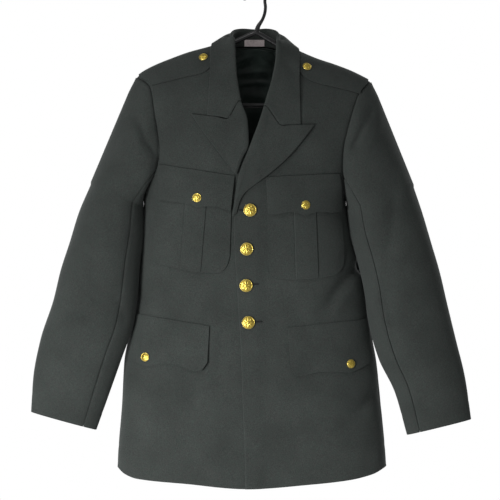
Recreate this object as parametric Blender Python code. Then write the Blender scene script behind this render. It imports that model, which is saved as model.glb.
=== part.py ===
"""Military dress coat hanging on a hanger.

Tables are in millimetres: x to the viewer's right, y to the back, z up, with the origin inside the hanger's
hook where it rests. The mesh is written in metres. Left and right in names are the wearer's, so the left
side is at +x. The coat's shape is a ring of two half ovals at each height, closed over the shoulders.
"""
import bpy
import bmesh
import math
from bisect import bisect_right
import numpy as np

MM = 0.001
GAP = 0.3
SEAM_HALF = 0.2         # half the gap where a front meets a back
LIE = 0.9               # gap under what lies on a curved panel
CENTRE = -13.0          # x of the coat's middle line
SQUARE = 2.5            # squareness of the body's rings
SHOULDER_ROUND = 110.0  # height over which the front and back close at the shoulder
NECK_HALF = 62.0        # half width of the neck opening at the shoulder seam
NECK_BACK = 0.72        # share of the back's depth that the back neckline reaches

PANEL = 2.0             # thickness of the fronts, backs and sleeves
FOLDED = 2.0            # collar and lapels
PATCH = 1.5             # pockets and loops
FLAP = 2.0
LINING = 1.0
LABEL_CLEAR = 1.0       # the label lies clear of the bend in the collar's stand
LOOP_LIFT = 1.2         # gap under the shoulder loops, where the cloth turns over the shoulder
PLEAT = 1.5             # rise of the box pleat
FLAP_LIFT = LIE + PATCH + PLEAT + GAP
LAP_OUT = 2.0           # how far the over front stands out where the fronts overlap
LAP_IN = -1.5           # how far the under front lies in there

LARGE_BUTTON = 22.9     # 36 ligne
SMALL_BUTTON = 15.9     # 25 ligne
TUBE = 4.5              # radius of the hanger's arms and bar
HOOK_WIRE = 2.9         # radius of the hook
HOOK_RADIUS = 18.9      # centre line of the hook


def table(names, *rows):
    """Columns by name from short rows."""
    return {name: [row[i] for row in rows] for i, name in enumerate(names.split())}


def read(columns, key, name, at):
    """A column's value at a key, on a smooth curve with no overshoot."""
    xs, ys = columns[key], columns[name]
    if at <= xs[0]:
        return ys[0]
    if at >= xs[-1]:
        return ys[-1]
    i = min(bisect_right(xs, at) - 1, len(xs) - 2)
    chords = [(ys[k + 1] - ys[k]) / (xs[k + 1] - xs[k]) for k in range(max(i - 1, 0), min(i + 2, len(xs) - 1))]
    here = chords[0] if i == 0 else chords[1]

    def slope(a, b):
        return 0.0 if a * b <= 0 else 2 * a * b / (a + b)

    start = here if i == 0 else slope(chords[0], here)
    end = here if i == len(xs) - 2 else slope(here, chords[-1])
    step = xs[i + 1] - xs[i]
    t = (at - xs[i]) / step
    return (ys[i] * (2 * t ** 3 - 3 * t ** 2 + 1) + ys[i + 1] * (3 * t ** 2 - 2 * t ** 3)
            + step * (start * (t ** 3 - 2 * t ** 2 + t) + end * (t ** 3 - t ** 2)))


def mix(a, b, t):
    return a + (b - a) * t


def ease(t):
    t = min(max(t, 0.0), 1.0)
    return t * t * (3 - 2 * t)


# The body's rings: half widths come from the side lines, depths from the middle
BODY = table(
    "z     left    right  front  back",
    (-910, -247.0, 237.0, 80.0, 74.0),
    (-864, -247.0, 236.0, 82.0, 76.0),
    (-745, -239.0, 226.0, 86.0, 76.0),
    (-670, -235.0, 218.0, 88.0, 74.0),
    (-637, -229.0, 212.0, 88.0, 72.0),
    (-590, -218.0, 204.5, 87.0, 70.0),
    (-547, -213.0, 199.0, 87.0, 70.0),
    (-491, -208.0, 185.5, 90.0, 74.0),
    (-437, -204.0, 172.0, 93.0, 80.0),
    (-382, -200.0, 163.5, 95.0, 86.0),
    (-340, -201.0, 176.0, 95.0, 90.0),
    (-295, -205.0, 190.0, 92.0, 90.0),
    (-230, -214.0, 210.0, 82.0, 86.0),
    (-184, -224.0, 232.0, 70.0, 82.0),
    (-150, -232.0, 244.0, 62.0, 80.0),
    (-60, -240.0, 250.0, 56.0, 80.0),
)
# The shoulder line from the front, carried on over the neck opening
SHOULDER = table(
    "x     z",
    (-214, -162.0), (-198, -151.0), (-176, -140.0), (-151, -130.0), (-121, -119.0), (-73, -105.5),
    (-62, -101.0), (0, -70.0), (62, -107.0), (75, -114.0), (112, -130.0), (142, -140.0), (171, -151.0),
    (194, -162.0), (209, -170.0),
)
HEM = table(
    "x     z",
    (-247, -862.0), (-234, -873.0), (-211, -881.0), (-121, -889.0), (-16, -898.0), (100, -890.0),
    (167, -883.0), (211, -873.0), (237, -860.0),
)
# Armhole seams on the front, by height, and how much farther out they run on the back
ARMHOLE = {
    "right": table(
        "z     x",
        (-374, -200.2), (-355, -190.0), (-340, -181.5), (-318, -174.0), (-295, -171.0), (-257, -175.0),
        (-223, -181.0), (-195, -185.0), (-180, -189.0), (-170, -198.0), (-162, -214.0),
    ),
    "left": table(
        "z     x",
        (-384, 163.7), (-366, 159.5), (-325, 157.0), (-294, 158.5), (-261, 165.0), (-225, 175.0),
        (-203, 182.0), (-188, 189.0), (-177, 198.0), (-170, 209.0),
    ),
}
ARMHOLE_BACK = 5.0
# Inner edges of the fronts: the left one is over, and the right one runs on beneath it
FRONT_EDGE = {
    "left": table(
        "z     x",
        (-910, -17.5), (-855, -18.0), (-745, -22.0), (-635, -26.0), (-574, -30.0), (-416, -37.5),
        (-395, -31.0), (-344, -22.0), (-284, 0.0), (-241, 16.0), (-193, 30.0), (-166, 38.0), (-140, 44.0),
        (-122, 51.0), (-112, 57.5), (-107, 62.0),
    ),
    "right": table(
        "z     x",
        (-910, -3.0), (-400, -3.0), (-330, -4.0), (-300, -10.0), (-272, -17.0), (-241, -21.0), (-221, -28.0),
        (-185, -38.0), (-155, -42.0), (-130, -46.0), (-113, -53.0), (-104, -59.0), (-101, -62.0),
    ),
}
# Roll lines, where the collar and lapels turn, from the neck to the lowest point that shows
ROLL = {
    "left": table(
        "z     x",
        (-412, -40.5), (-400, -38.0), (-344, -29.0), (-284, -7.0), (-241, 9.0), (-193, 23.0), (-166, 31.0),
        (-130, 37.0), (-95, 38.5),
    ),
    "right": table(
        "z     x",
        (-342, -35.0), (-310, -23.5), (-284, -12.0), (-237, -14.5), (-221, -21.0), (-185, -31.0),
        (-125, -35.0), (-82, -37.0),
    ),
}
# Drag folds in the cloth's front, soft troughs from one end to the other
FOLDS = table(
    "x1    z1    x2    z2    width depth",
    (189, -500, 116, -582, 13.0, 3.0),
    (217, -734, 162, -778, 14.0, 3.0),
    (-88, -625, -125, -770, 20.0, 2.0),
    (60, -560, 110, -640, 18.0, 1.6),
    (-145, -525, -198, -556, 12.0, 2.0),
)


def shoulder_z(x):
    return read(SHOULDER, "x", "z", x)


def closing(x, z):
    """Share of its depth that the coat has at a height below the shoulder line."""
    below = min(max(shoulder_z(x) - z, 0.0) / SHOULDER_ROUND, 1.0)
    return math.sqrt(1 - (1 - below) ** 2)


def half_width(side_is_right_of_view, z):
    if side_is_right_of_view:
        return read(BODY, "z", "right", z) - CENTRE
    return CENTRE - read(BODY, "z", "left", z)


def ring_point(angle, z):
    """A point of the body's ring: angle 0 at +x, a quarter turn at the front."""
    c, s = math.cos(angle), math.sin(angle)
    power = 2 / SQUARE
    x = CENTRE + half_width(c > 0, z) * math.copysign(abs(c) ** power, c)
    depth = read(BODY, "z", "front" if s > 0 else "back", z)
    y = -depth * math.copysign(abs(s) ** power, s) * closing(x, z)
    return np.array([x, y, z])


def ring_angle(x, z, back=False):
    half = half_width(x > CENTRE, z)
    share = min(abs(x - CENTRE) / half, 1.0) ** (SQUARE / 2)
    angle = math.acos(math.copysign(share, x - CENTRE))
    return -angle if back else angle


def ring_normal(angle, z):
    turn, rise = 0.02, 1.5
    across = ring_point(angle + turn, z) - ring_point(angle - turn, z)
    up = ring_point(angle, z + rise) - ring_point(angle, z - rise)
    normal = np.cross(across, up)
    here = ring_point(angle, z)
    if shoulder_z(here[0]) - z < 0.6:
        normal[1] = 0.0
        normal = normal if normal[2] > 0 else -normal
        return normal / np.linalg.norm(normal)
    outward = here - np.array([CENTRE, 0.0, z])
    normal = normal if np.dot(normal, outward) > 0 else -normal
    return normal / np.linalg.norm(normal)


def trough(x, z):
    """How far the folds press the front in."""
    total = 0.0
    for x1, z1, x2, z2, width, depth in zip(*FOLDS.values()):
        run = np.array([x2 - x1, z2 - z1], float)
        t = np.dot([x - x1, z - z1], run) / np.dot(run, run)
        near = np.array([x1, z1]) + run * min(max(t, 0.0), 1.0)
        away = math.hypot(x - near[0], z - near[1]) / width
        total += depth * math.exp(-away ** 2)
    return total


def cloth(angle, z, lift=0.0):
    """A point of the coat's surface, moved out by a lift, with the folds pressed in."""
    point = ring_point(angle, z)
    if math.sin(angle) > 0:
        lift = lift - trough(point[0], z)
    return point + ring_normal(angle, z) * lift


def on_front(x, z, lift=0.0):
    return cloth(ring_angle(x, z), z, lift)


def on_back(x, z, lift=0.0):
    return cloth(ring_angle(x, z, True), z, lift)


def front_lift(side, x):
    """The overlap: the left front stands out over the right one."""
    if side == "left":
        return LAP_OUT * (1 - ease((x - 6) / 12))
    return LAP_IN * ease((x + 75) / 27)


def closed_object(name, bm, material):
    bmesh.ops.recalc_face_normals(bm, faces=bm.faces)
    mesh = bpy.data.meshes.new(name)
    bm.to_mesh(mesh)
    bm.free()
    mesh.shade_smooth()
    mesh.set_sharp_from_angle(angle=math.radians(40))
    mesh.materials.append(material)
    obj = bpy.data.objects.new(name, mesh)
    bpy.context.scene.collection.objects.link(obj)
    return obj


def wall(name, outer, inner, material):
    """A closed wall between two grids of points of the same size."""
    bm = bmesh.new()
    layers = [[[bm.verts.new(p * MM) for p in row] for row in grid] for grid in (outer, inner)]
    rows, cols = len(outer), len(outer[0])
    for layer in layers:
        for r in range(rows - 1):
            for c in range(cols - 1):
                bm.faces.new((layer[r][c], layer[r][c + 1], layer[r + 1][c + 1], layer[r + 1][c]))
    border = [(0, c) for c in range(cols - 1)] + [(r, cols - 1) for r in range(rows - 1)]
    border += [(rows - 1, c) for c in range(cols - 1, 0, -1)] + [(r, 0) for r in range(rows - 1, 0, -1)]
    for (r, c), (r2, c2) in zip(border, border[1:] + border[:1]):
        bm.faces.new((layers[0][r][c], layers[0][r2][c2], layers[1][r2][c2], layers[1][r][c]))
    return closed_object(name, bm, material)


def grid_normals(grid):
    rows, cols = len(grid), len(grid[0])
    normals = []
    for r in range(rows):
        line = []
        for c in range(cols):
            along = grid[r][min(c + 1, cols - 1)] - grid[r][max(c - 1, 0)]
            down = grid[min(r + 1, rows - 1)][c] - grid[max(r - 1, 0)][c]
            normal = np.cross(along, down)
            line.append(normal / np.linalg.norm(normal))
        normals.append(line)
    return normals


def sheet_wall(name, grid, thickness, material):
    """A closed wall around a grid of middle points."""
    normals = grid_normals(grid)
    half = thickness / 2
    outer = [[p + n * half for p, n in zip(*rows)] for rows in zip(grid, normals)]
    inner = [[p - n * half for p, n in zip(*rows)] for rows in zip(grid, normals)]
    return wall(name, outer, inner, material)


def finish(name, colour, roughness, metallic=0.0):
    material = bpy.data.materials.new(name)
    material.use_nodes = True
    shader = material.node_tree.nodes["Principled BSDF"]
    shader.inputs["Base Color"].default_value = (*colour, 1.0)
    shader.inputs["Roughness"].default_value = roughness
    shader.inputs["Metallic"].default_value = metallic
    return material


# Fronts and backs
LOW_ROWS, HIGH_ROWS, COLUMNS = 11, 14, 12
SPREAD = 1.55           # rows lie closer together towards the shoulder
CHEST_Z = {"left": -405.0, "right": -395.0}
FRONT_LOW_Z = -899.0    # the hem row's inner ends, before the hem's own curve
BACK_LOW_Z = -885.0
BACK_HEM_Z = -868.0     # height that the back's hem is levelled towards


def panel_levels(side):
    """Rows from hem to shoulder: height at the side seam or armhole, and share of the way up."""
    armhole = ARMHOLE[side]
    armpit, tip = armhole["z"][0], armhole["z"][-1]
    hem = HEM["z"][-1 if side == "left" else 0]
    levels = [("low", i / LOW_ROWS, mix(hem, armpit, i / LOW_ROWS)) for i in range(LOW_ROWS)]
    for i in range(HIGH_ROWS + 1):
        v = i / HIGH_ROWS
        levels.append(("high", v, tip - (tip - armpit) * (1 - v) ** SPREAD))
    return levels


def panel(side, back):
    """The rows of ring angles and heights of a front or a back."""
    armhole, edge = ARMHOLE[side], FRONT_EDGE[side]
    seam_angle = 0.0 if side == "left" else math.pi
    towards = 1 if side == "left" else -1
    rows = []
    for part, v, side_z in panel_levels(side):
        if part == "low":
            start = seam_angle
            edge_z = mix(FRONT_LOW_Z, CHEST_Z[side], v)
        else:
            x = read(armhole, "z", "x", side_z)
            if back:
                x += towards * ARMHOLE_BACK * math.sin(math.pi * v)
            start = abs(ring_angle(x, side_z))
            top = edge["z"][-1]
            edge_z = top - (top - CHEST_Z[side]) * (1 - v) ** SPREAD
        if back:
            top_z = shoulder_z(CENTRE) - neck_drop(CENTRE)
            edge_z = mix(BACK_LOW_Z, CHEST_Z[side], v) if part == "low" else \
                top_z - (top_z - CHEST_Z[side]) * (1 - v) ** SPREAD
            end = math.pi / 2
        else:
            end = ring_angle(read(edge, "z", "x", edge_z), edge_z)
        start_x = ring_point(start, side_z)[0]
        end_x = ring_point(end, edge_z)[0]
        row = []
        for i in range(COLUMNS + 1):
            c = i / COLUMNS
            angle = mix(start, end, c)
            level = mix(side_z, edge_z, c)
            x = ring_point(angle, level)[0]
            if part == "low":
                hem_z = read(HEM, "x", "z", x)
                if back:
                    hem_z = mix(hem_z, BACK_HEM_Z, 0.6 * ease(c / 0.4))
                level += (hem_z - mix(row_hem(side, back)[0], row_hem(side, back)[1], c)) * (1 - v) ** 2
            else:
                hang = mix(shoulder_z(start_x) - side_z, shoulder_z(end_x) - edge_z, c)
                if back:
                    x = mix(start_x, end_x, c)
                    hang += (neck_drop(x) - neck_drop(CENTRE) * c) * v ** 2
                blend = ease(v / 0.6)
                x = mix(x, mix(start_x, end_x, c), blend)
                level = mix(level, shoulder_z(x) - hang, blend)
                angle = ring_angle(x, level)
            row.append((angle, level))
        rows.append(row)
    return rows


def row_hem(side, back):
    """Heights of the hem row's two ends before the hem's own curve is added."""
    hem = HEM["z"][-1 if side == "left" else 0]
    return (hem, BACK_LOW_Z) if back else (hem, FRONT_LOW_Z)


def neck_drop(x):
    """How far the back neckline lies below the shoulder line's own run."""
    reach = NECK_BACK * math.sqrt(max(1 - (x / NECK_HALF) ** 2, 0.0))
    return SHOULDER_ROUND * (1 - math.sqrt(1 - reach ** 2))


def at_seam(angle, x, z):
    """Whether a point lies on the side seam or the shoulder seam."""
    return abs(math.sin(angle)) < 0.02 or closing(x, z) < 0.05


def make_front(side, wool):
    outer, inner = [], []
    for row in panel(side, False):
        above, below = [], []
        for angle, z in row:
            x = ring_point(angle, z)[0]
            lift = front_lift(side, x)
            seam = np.array([0.0, -SEAM_HALF if at_seam(angle, x, z) else 0.0, 0.0])
            above.append(cloth(angle, z, lift) + seam)
            below.append(cloth(angle, z, lift - PANEL) + seam)
        outer.append(above)
        inner.append(below)
    wall("front_" + side, outer, inner, wool)


def make_back(side, wool):
    towards = 1 if side == "left" else -1
    outer, inner = [], []
    for row in panel(side, True):
        above, below = [], []
        for i, (angle, z) in enumerate(row):
            x = ring_point(-angle, z)[0]
            seam = np.array([0.0, SEAM_HALF if at_seam(angle, x, z) else 0.0, 0.0])
            if i == COLUMNS:
                seam = seam + np.array([towards * GAP / 2, 0.0, 0.0])
            above.append(cloth(-angle, z, 0.0) + seam)
            below.append(cloth(-angle, z, -PANEL) + seam)
        outer.append(above)
        inner.append(below)
    wall("back_" + side, outer, inner, wool)


# Sleeves: rings by their inner and outer points seen from the front, half depth and forward swing
SLEEVE = {
    "right": table(
        "inner_x inner_z outer_x outer_z depth forward",
        (-205.0, -396, -295, -355, 60, -8), (-203.6, -437, -316, -405, 58, -24),
        (-206.8, -491, -332, -458, 56, -31), (-211.5, -547, -348, -508, 54, -35),
        (-219.0, -600, -361, -562, 52, -37), (-240, -670, -384, -632, 46, -38),
        (-263, -735, -397, -700, 36, -38), (-284, -794, -401, -762, 25, -38),
    ),
    "left": table(
        "inner_x inner_z outer_x outer_z depth forward",
        (167.0, -402, 285, -360, 60, -12), (172.6, -445, 300, -405, 58, -24),
        (184.6, -491, 316, -460, 56, -31), (198.2, -547, 331, -512, 54, -35),
        (205.0, -600, 344, -568, 52, -37), (221, -666, 360, -634, 46, -38),
        (250, -726, 376, -700, 36, -38), (272, -803, 387, -775, 25, -38),
    ),
}
SLEEVE_HEAD_ROWS = 6
SLEEVE_HEAD_FULL = 11.0  # how far the sleeve head stands out at the front and back
SLEEVE_SEAMS = (math.radians(-62), math.radians(52))
SLEEVE_FOLDS = {
    "left": table(
        "x1   z1    x2   z2    width depth",
        (222, -190, 178, -285, 9.0, 5.0), (247, -382, 229, -558, 16.0, 3.5), (229, -558, 244, -646, 14.0, 2.5),
    ),
    "right": table(
        "x1    z1    x2    z2    width depth",
        (-212, -238, -180, -297, 11.0, 3.5), (-248, -555, -300, -590, 12.0, 3.0),
        (-238, -600, -290, -622, 12.0, 2.5),
    ),
}


def armhole_point(side, turn):
    """The armhole seam round the sleeve: turn 0 at the armpit, a quarter at the front, a half at the top."""
    armhole = ARMHOLE[side]
    low, high = armhole["z"][0], armhole["z"][-1]
    back = math.sin(turn) < 0
    z = mix(low, high, (1 - math.cos(turn)) / 2)
    x = read(armhole, "z", "x", z)
    towards = 1 if side == "left" else -1
    if back:
        v = 1 - ((high - z) / (high - low)) ** (1 / SPREAD)
        x += towards * ARMHOLE_BACK * math.sin(math.pi * v)
    angle = ring_angle(x, z)
    return ring_point(-angle if back else angle, z)


def sleeve_ring(side, k, turn):
    ring = {name: values[k] for name, values in SLEEVE[side].items()}
    inner = np.array([ring["inner_x"], ring["forward"], ring["inner_z"]], float)
    outer = np.array([ring["outer_x"], ring["forward"], ring["outer_z"]], float)
    middle, arm = (inner + outer) / 2, (inner - outer) / 2
    return middle + arm * math.cos(turn) + np.array([0.0, -ring["depth"] * math.sin(turn), 0.0])


def sleeve_point(side, row, turn):
    """Rows count down from the armhole: first the sleeve head, then the rings."""
    towards = 1 if side == "left" else -1
    if row < SLEEVE_HEAD_ROWS:
        t = row / SLEEVE_HEAD_ROWS
        start = armhole_point(side, turn) + np.array([towards * (GAP + 0.4), 0.0, 0.0])
        point = mix(start, sleeve_ring(side, 0, turn), t)
        swell = SLEEVE_HEAD_FULL * math.sin(math.pi * t ** 0.7)
        point = point + np.array([towards * 2.0 * (1 - math.cos(turn)) / 2, -swell * math.sin(turn), 0.0])
    else:
        point = sleeve_ring(side, row - SLEEVE_HEAD_ROWS, turn)
    if math.sin(turn) > 0:
        folds = SLEEVE_FOLDS[side]
        for x1, z1, x2, z2, width, depth in zip(*folds.values()):
            run = np.array([x2 - x1, z2 - z1], float)
            t = min(max(np.dot([point[0] - x1, point[2] - z1], run) / np.dot(run, run), 0.0), 1.0)
            near = np.array([x1, z1]) + run * t
            away = math.hypot(point[0] - near[0], point[2] - near[1]) / width
            point = point + np.array([0.0, depth * math.exp(-away ** 2) * math.sin(turn), 0.0])
    return point


def make_sleeve(side, wool):
    count = SLEEVE_HEAD_ROWS + len(SLEEVE[side]["depth"])
    low, high = SLEEVE_SEAMS
    parts = {"under": (low, high, 6), "top": (high, low + 2 * math.pi, 14)}
    for part, (start, end, steps) in parts.items():
        seam = 0.006
        turns = [mix(start + seam, end - seam, i / steps) for i in range(steps + 1)]
        outer, inner = [], []
        for row in range(count):
            line = [sleeve_point(side, row, turn) for turn in turns]
            outer.append(line)
        for row, line in enumerate(outer):
            centre = sum(sleeve_point(side, row, math.tau * i / 12) for i in range(12)) / 12
            shrunk = []
            for p, turn in zip(line, turns):
                across = sleeve_point(side, row, turn + 0.05) - sleeve_point(side, row, turn - 0.05)
                along = (sleeve_point(side, min(row + 1, count - 1), turn)
                         - sleeve_point(side, max(row - 1, 0), turn))
                normal = np.cross(across, along)
                normal /= np.linalg.norm(normal)
                if np.dot(normal, p - centre) < 0:
                    normal = -normal
                if row == 0:
                    normal[0] *= (1 + math.cos(turn)) / 2
                    normal /= np.linalg.norm(normal)
                shrunk.append(p - normal * PANEL)
            inner.append(shrunk)
        wall("sleeve_" + side + "_" + part, outer, inner, wool)


# Collar: stations from the back to the gorge, each a stand seam, a turn and an outer edge
COLLAR_TURN = table(
    "x    y    z",
    (-22, 52, -71.5), (-36, 38, -74.0), (-42, 18, -79.5), (-42, -2, -87.0),
)
COLLAR_BACK = table(
    "seam_x edge_x edge_z lift",
    (-25, -34, -121, 3.2), (-46, -60, -119, 3.6), (-59, -74, -113, 6.2),
)
COLLAR_FRONT = {
    "right": table(
        "turn_z edge_x edge_z lift",
        (-94, -78.0, -114, 6.0), (-102, -79.0, -131, 5.8), (-126, -80.5, -162, 4.0),
        (-160, -82.5, -196, 3.0), (-207, -85.5, -233.4, 2.2),
    ),
    "left": table(
        "turn_z edge_x edge_z lift",
        (-100, 78.0, -122, 6.0), (-108, 78.5, -140, 5.8), (-132, 79.0, -170, 4.0),
        (-166, 80.0, -206, 3.0), (-216, 81.5, -249.6, 2.2),
    ),
}
GORGE_INNER = {"right": (-47.5, -238.0), "left": (45.0, -250.5)}
ACROSS = (0.2, 0.4, 0.6, 0.8, 1.0)
GORGE_SHARE = 0.4       # share of the columns from the roll to the gorge's inner end
TURN = 2.6              # radius of the turned edge of collar and lapels
TURN_END = 1.5          # and at the lapels' lower ends


def hanging_section(seam, turn, edge):
    """Stand, turn and fall of a station behind the neck or on the shoulder."""
    outward = edge - turn
    outward[2] = 0.0
    outward /= np.linalg.norm(outward)
    rise = np.array([0.0, 0.0, 1.0])
    inside = turn - outward * TURN - rise * TURN * 1.4
    points = [seam, mix(seam, inside, 0.6), inside, turn, turn + outward * TURN - rise * TURN * 1.1]
    return points + [fall_point(points[-1], edge, c) for c in ACROSS]


def collar_station(side, kind, k):
    towards = 1 if side == "left" else -1
    if kind == "middle":
        turn = np.array([-1.0, 57.0, -72.5])
        edge = on_back(-1.0, -122.0, 3.0)
        return hanging_section(back_neck(-1.0), turn, edge)
    if kind == "back":
        row = {name: values[k] for name, values in COLLAR_BACK.items()}
        turn = np.array([COLLAR_TURN[axis][k] for axis in "xyz"], float)
        turn[0] *= -towards
        turn[2] -= 3.0 * (1 if side == "left" else 0) * k / 3
        seam = back_neck(-towards * row["seam_x"])
        drop = 7.0 * (k / 2) if side == "left" else 0.0
        edge = on_back(-towards * row["edge_x"], row["edge_z"] - drop, row["lift"])
        return hanging_section(seam, turn, edge)
    if kind == "shoulder":
        turn = np.array([COLLAR_TURN[axis][3] for axis in "xyz"], float)
        turn[0] *= -towards
        turn[2] -= 4.0 if side == "left" else 0.0
        x = towards * NECK_HALF
        seam = np.array([x - towards * 2.0, 0.0, shoulder_z(x) + 0.6])
        x = towards * 77.0
        edge = np.array([x, -2.0, shoulder_z(x) + 6.2])
        return hanging_section(seam, turn, edge)
    row = {name: values[k] for name, values in COLLAR_FRONT[side].items()}
    roll = (read(ROLL[side], "z", "x", row["turn_z"]), row["turn_z"])
    last = k == len(COLLAR_FRONT[side]["lift"]) - 1
    points = turned_points(side, roll, 0.0)
    roll = (roll[0] + towards * TURN, roll[1])
    for c in ACROSS:
        x, z = mix(roll[0], row["edge_x"], c), mix(roll[1], row["edge_z"], c)
        if last:
            x, z = gorge_line(side, c, roll, (row["edge_x"], row["edge_z"]))
            z += 0.7
        points.append(on_front(x, z, mix(4.7, row["lift"], ease(c))))
    return points


def turned_points(side, roll, base, radius=TURN):
    """The half round turn of a collar or lapel, from beneath up to its outer face."""
    towards = 1 if side == "left" else -1
    points = []
    for degrees in (-90, -135, 180, 135, 90):
        a = math.radians(degrees)
        x = roll[0] + towards * (radius + radius * math.cos(a))
        points.append(on_front(x, roll[1], base - 0.5 + radius + radius * math.sin(a)))
    return points


def gorge_line(side, c, start, end):
    """The gorge runs from the roll to its inner end, then straight to the corner or the tip."""
    inner = GORGE_INNER[side]
    if c < GORGE_SHARE:
        a, b, t = start, inner, c / GORGE_SHARE
    else:
        a, b, t = inner, end, (c - GORGE_SHARE) / (1 - GORGE_SHARE)
    return mix(a[0], b[0], t), mix(a[1], b[1], t)


def fall_point(turn, edge, c):
    """The fall bows out between the turn and its edge."""
    outward = edge - turn
    outward[2] = 0.0
    outward /= max(np.linalg.norm(outward), 1e-6)
    return mix(turn, edge, c) + (outward * 3.0 + np.array([0.0, 0.0, 3.0])) * math.sin(math.pi * c ** 0.6)


def back_neck(x):
    """The collar's seam behind the neck, just over the middle of the cloth."""
    return on_back(x, shoulder_z(x) - neck_drop(x), -PANEL / 2) + np.array([0.0, 0.0, 2.2])


def collar_grid():
    half = {}
    for side in ("right", "left"):
        stations = [collar_station(side, "front", k) for k in (4, 3, 2, 1, 0)]
        stations.append(collar_station(side, "shoulder", 0))
        stations += [collar_station(side, "back", k) for k in (2, 1, 0)]
        half[side] = stations
    return half["right"] + [collar_station("right", "middle", 0)] + half["left"][::-1]


def make_collar(wool):
    sheet_wall("collar", collar_grid(), FOLDED, wool)


# Lapels: the outer edge from the tip down, and how high the turned cloth stands over the front
LAPEL_EDGE = {
    "left": table(
        "t    x      z",
        (0.0, 106.0, -249.0), (0.2, 82.0, -280.0), (0.4, 56.0, -310.0), (0.6, 20.0, -341.0),
        (0.75, -6.0, -360.0), (0.88, -24.0, -378.0), (1.0, -33.5, -408.0),
    ),
    "right": table(
        "t    x      z",
        (0.0, -114.0, -230.0), (0.3, -92.0, -262.0), (0.6, -66.0, -297.0), (1.0, -39.0, -332.0),
    ),
}
LAPEL_TURN_Z = {"left": (-216.8, -411.0), "right": (-207.8, -337.0)}
LAPEL_ROWS = 12
RAISED = 3.0            # the under lapel's lower end stands on the front that runs on beneath it


def lapel_grid(side):
    towards = 1 if side == "left" else -1
    top, bottom = LAPEL_TURN_Z[side]
    start = (read(ROLL[side], "z", "x", top) + towards * TURN, top)
    tip = (LAPEL_EDGE[side]["x"][0], LAPEL_EDGE[side]["z"][0])
    grid = []
    for i in range(LAPEL_ROWS + 1):
        t = i / LAPEL_ROWS
        turn_z = mix(top, bottom, t)
        turn_x = read(ROLL[side], "z", "x", turn_z)
        edge = [read(LAPEL_EDGE[side], "t", axis, t) for axis in "xz"]
        raised = RAISED * ease((-245.0 - turn_z) / 17.0) if side == "right" else 0.0
        base = front_lift(side, turn_x) + raised
        radius = mix(TURN, TURN_END, ease((t - 0.75) / 0.25))
        line = turned_points(side, (turn_x, turn_z), base, radius)
        turn_x += towards * radius
        for c in ACROSS:
            x, z = mix(turn_x, edge[0], c), mix(turn_z, edge[1], c)
            bent = gorge_line(side, c, start, tip)
            x += (bent[0] - mix(start[0], tip[0], c)) * (1 - t)
            z += (bent[1] - mix(start[1], tip[1], c)) * (1 - t)
            over = mix(raised - 0.5 + 2 * radius, FOLDED / 2 + LIE, ease(c))
            line.append(on_front(x, z, front_lift(side, x) + over))
        grid.append(line)
    return grid


def make_lapel(side, wool):
    sheet_wall("lapel_" + side, lapel_grid(side), FOLDED, wool)


# What lies on the fronts: the top, bottom, and the two side lines seen from the front
POCKET = {
    "right": table(
        "c    x_top  z_top   x_low  z_low  rise",
        (0.00, -170.5, -372.0, -181.0, -466.0, 0.0), (0.04, -165.0, -372.0, -180.5, -486.0, 0.0),
        (0.12, -155.0, -372.0, -171.0, -496.0, 0.0), (0.24, -140.0, -372.0, -153.0, -501.0, 0.0),
        (0.36, -124.5, -372.0, -134.0, -505.0, 0.0),
        (0.40, -120.0, -372.0, -130.0, -506.5, PLEAT), (0.60, -87.0, -372.0, -99.0, -511.5, PLEAT),
        (0.64, -82.5, -372.0, -94.0, -512.0, 0.0), (0.85, -60.0, -372.0, -64.0, -512.0, 0.0),
        (0.95, -46.0, -372.0, -50.0, -500.0, 0.0), (1.00, -41.0, -372.0, -45.0, -483.0, 0.0),
    ),
    "left": table(
        "c    x_top  z_top   x_low  z_low  rise",
        (0.00, 22.5, -390.0, 22.5, -494.0, 0.0), (0.06, 29.0, -390.0, 27.0, -513.0, 0.0),
        (0.15, 40.0, -390.0, 40.0, -522.0, 0.0), (0.26, 54.0, -390.0, 56.0, -523.5, 0.0),
        (0.36, 66.5, -390.0, 70.5, -524.0, 0.0),
        (0.40, 71.5, -390.0, 75.5, -524.0, PLEAT), (0.58, 104.0, -390.0, 110.0, -522.0, PLEAT),
        (0.62, 109.0, -390.0, 115.0, -521.5, 0.0), (0.74, 124.0, -390.0, 130.0, -519.0, 0.0),
        (0.85, 138.0, -390.0, 145.0, -515.0, 0.0),
        (0.95, 146.0, -390.0, 156.0, -502.0, 0.0), (1.00, 151.0, -390.0, 159.5, -483.0, 0.0),
    ),
}
BREAST_FLAP = {
    "right": table(
        "c    x_top  z_top   x_low  z_low",
        (0.00, -171.0, -319.0, -167.5, -382.0), (0.15, -151.0, -322.0, -148.0, -386.0),
        (0.30, -130.0, -326.0, -127.0, -388.0), (0.42, -114.0, -328.0, -115.0, -391.0),
        (0.50, -103.0, -330.0, -103.0, -396.5), (0.60, -90.0, -332.0, -90.0, -394.5),
        (0.74, -71.0, -335.0, -70.0, -394.5), (0.88, -52.0, -338.0, -54.0, -399.5),
        (1.00, -36.0, -340.0, -43.0, -402.5),
    ),
    "left": table(
        "c    x_top  z_top   x_low  z_low",
        (0.00, 19.0, -342.0, 23.0, -408.0), (0.12, 35.0, -341.5, 37.0, -408.5),
        (0.32, 61.0, -340.0, 61.0, -404.0), (0.42, 74.0, -339.5, 76.0, -406.0),
        (0.52, 88.0, -339.0, 88.0, -410.5), (0.62, 101.0, -338.0, 101.0, -406.0),
        (0.76, 119.0, -337.0, 118.0, -404.0), (0.88, 135.0, -336.5, 134.0, -406.0),
        (1.00, 150.0, -336.0, 151.0, -403.0),
    ),
}
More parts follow.
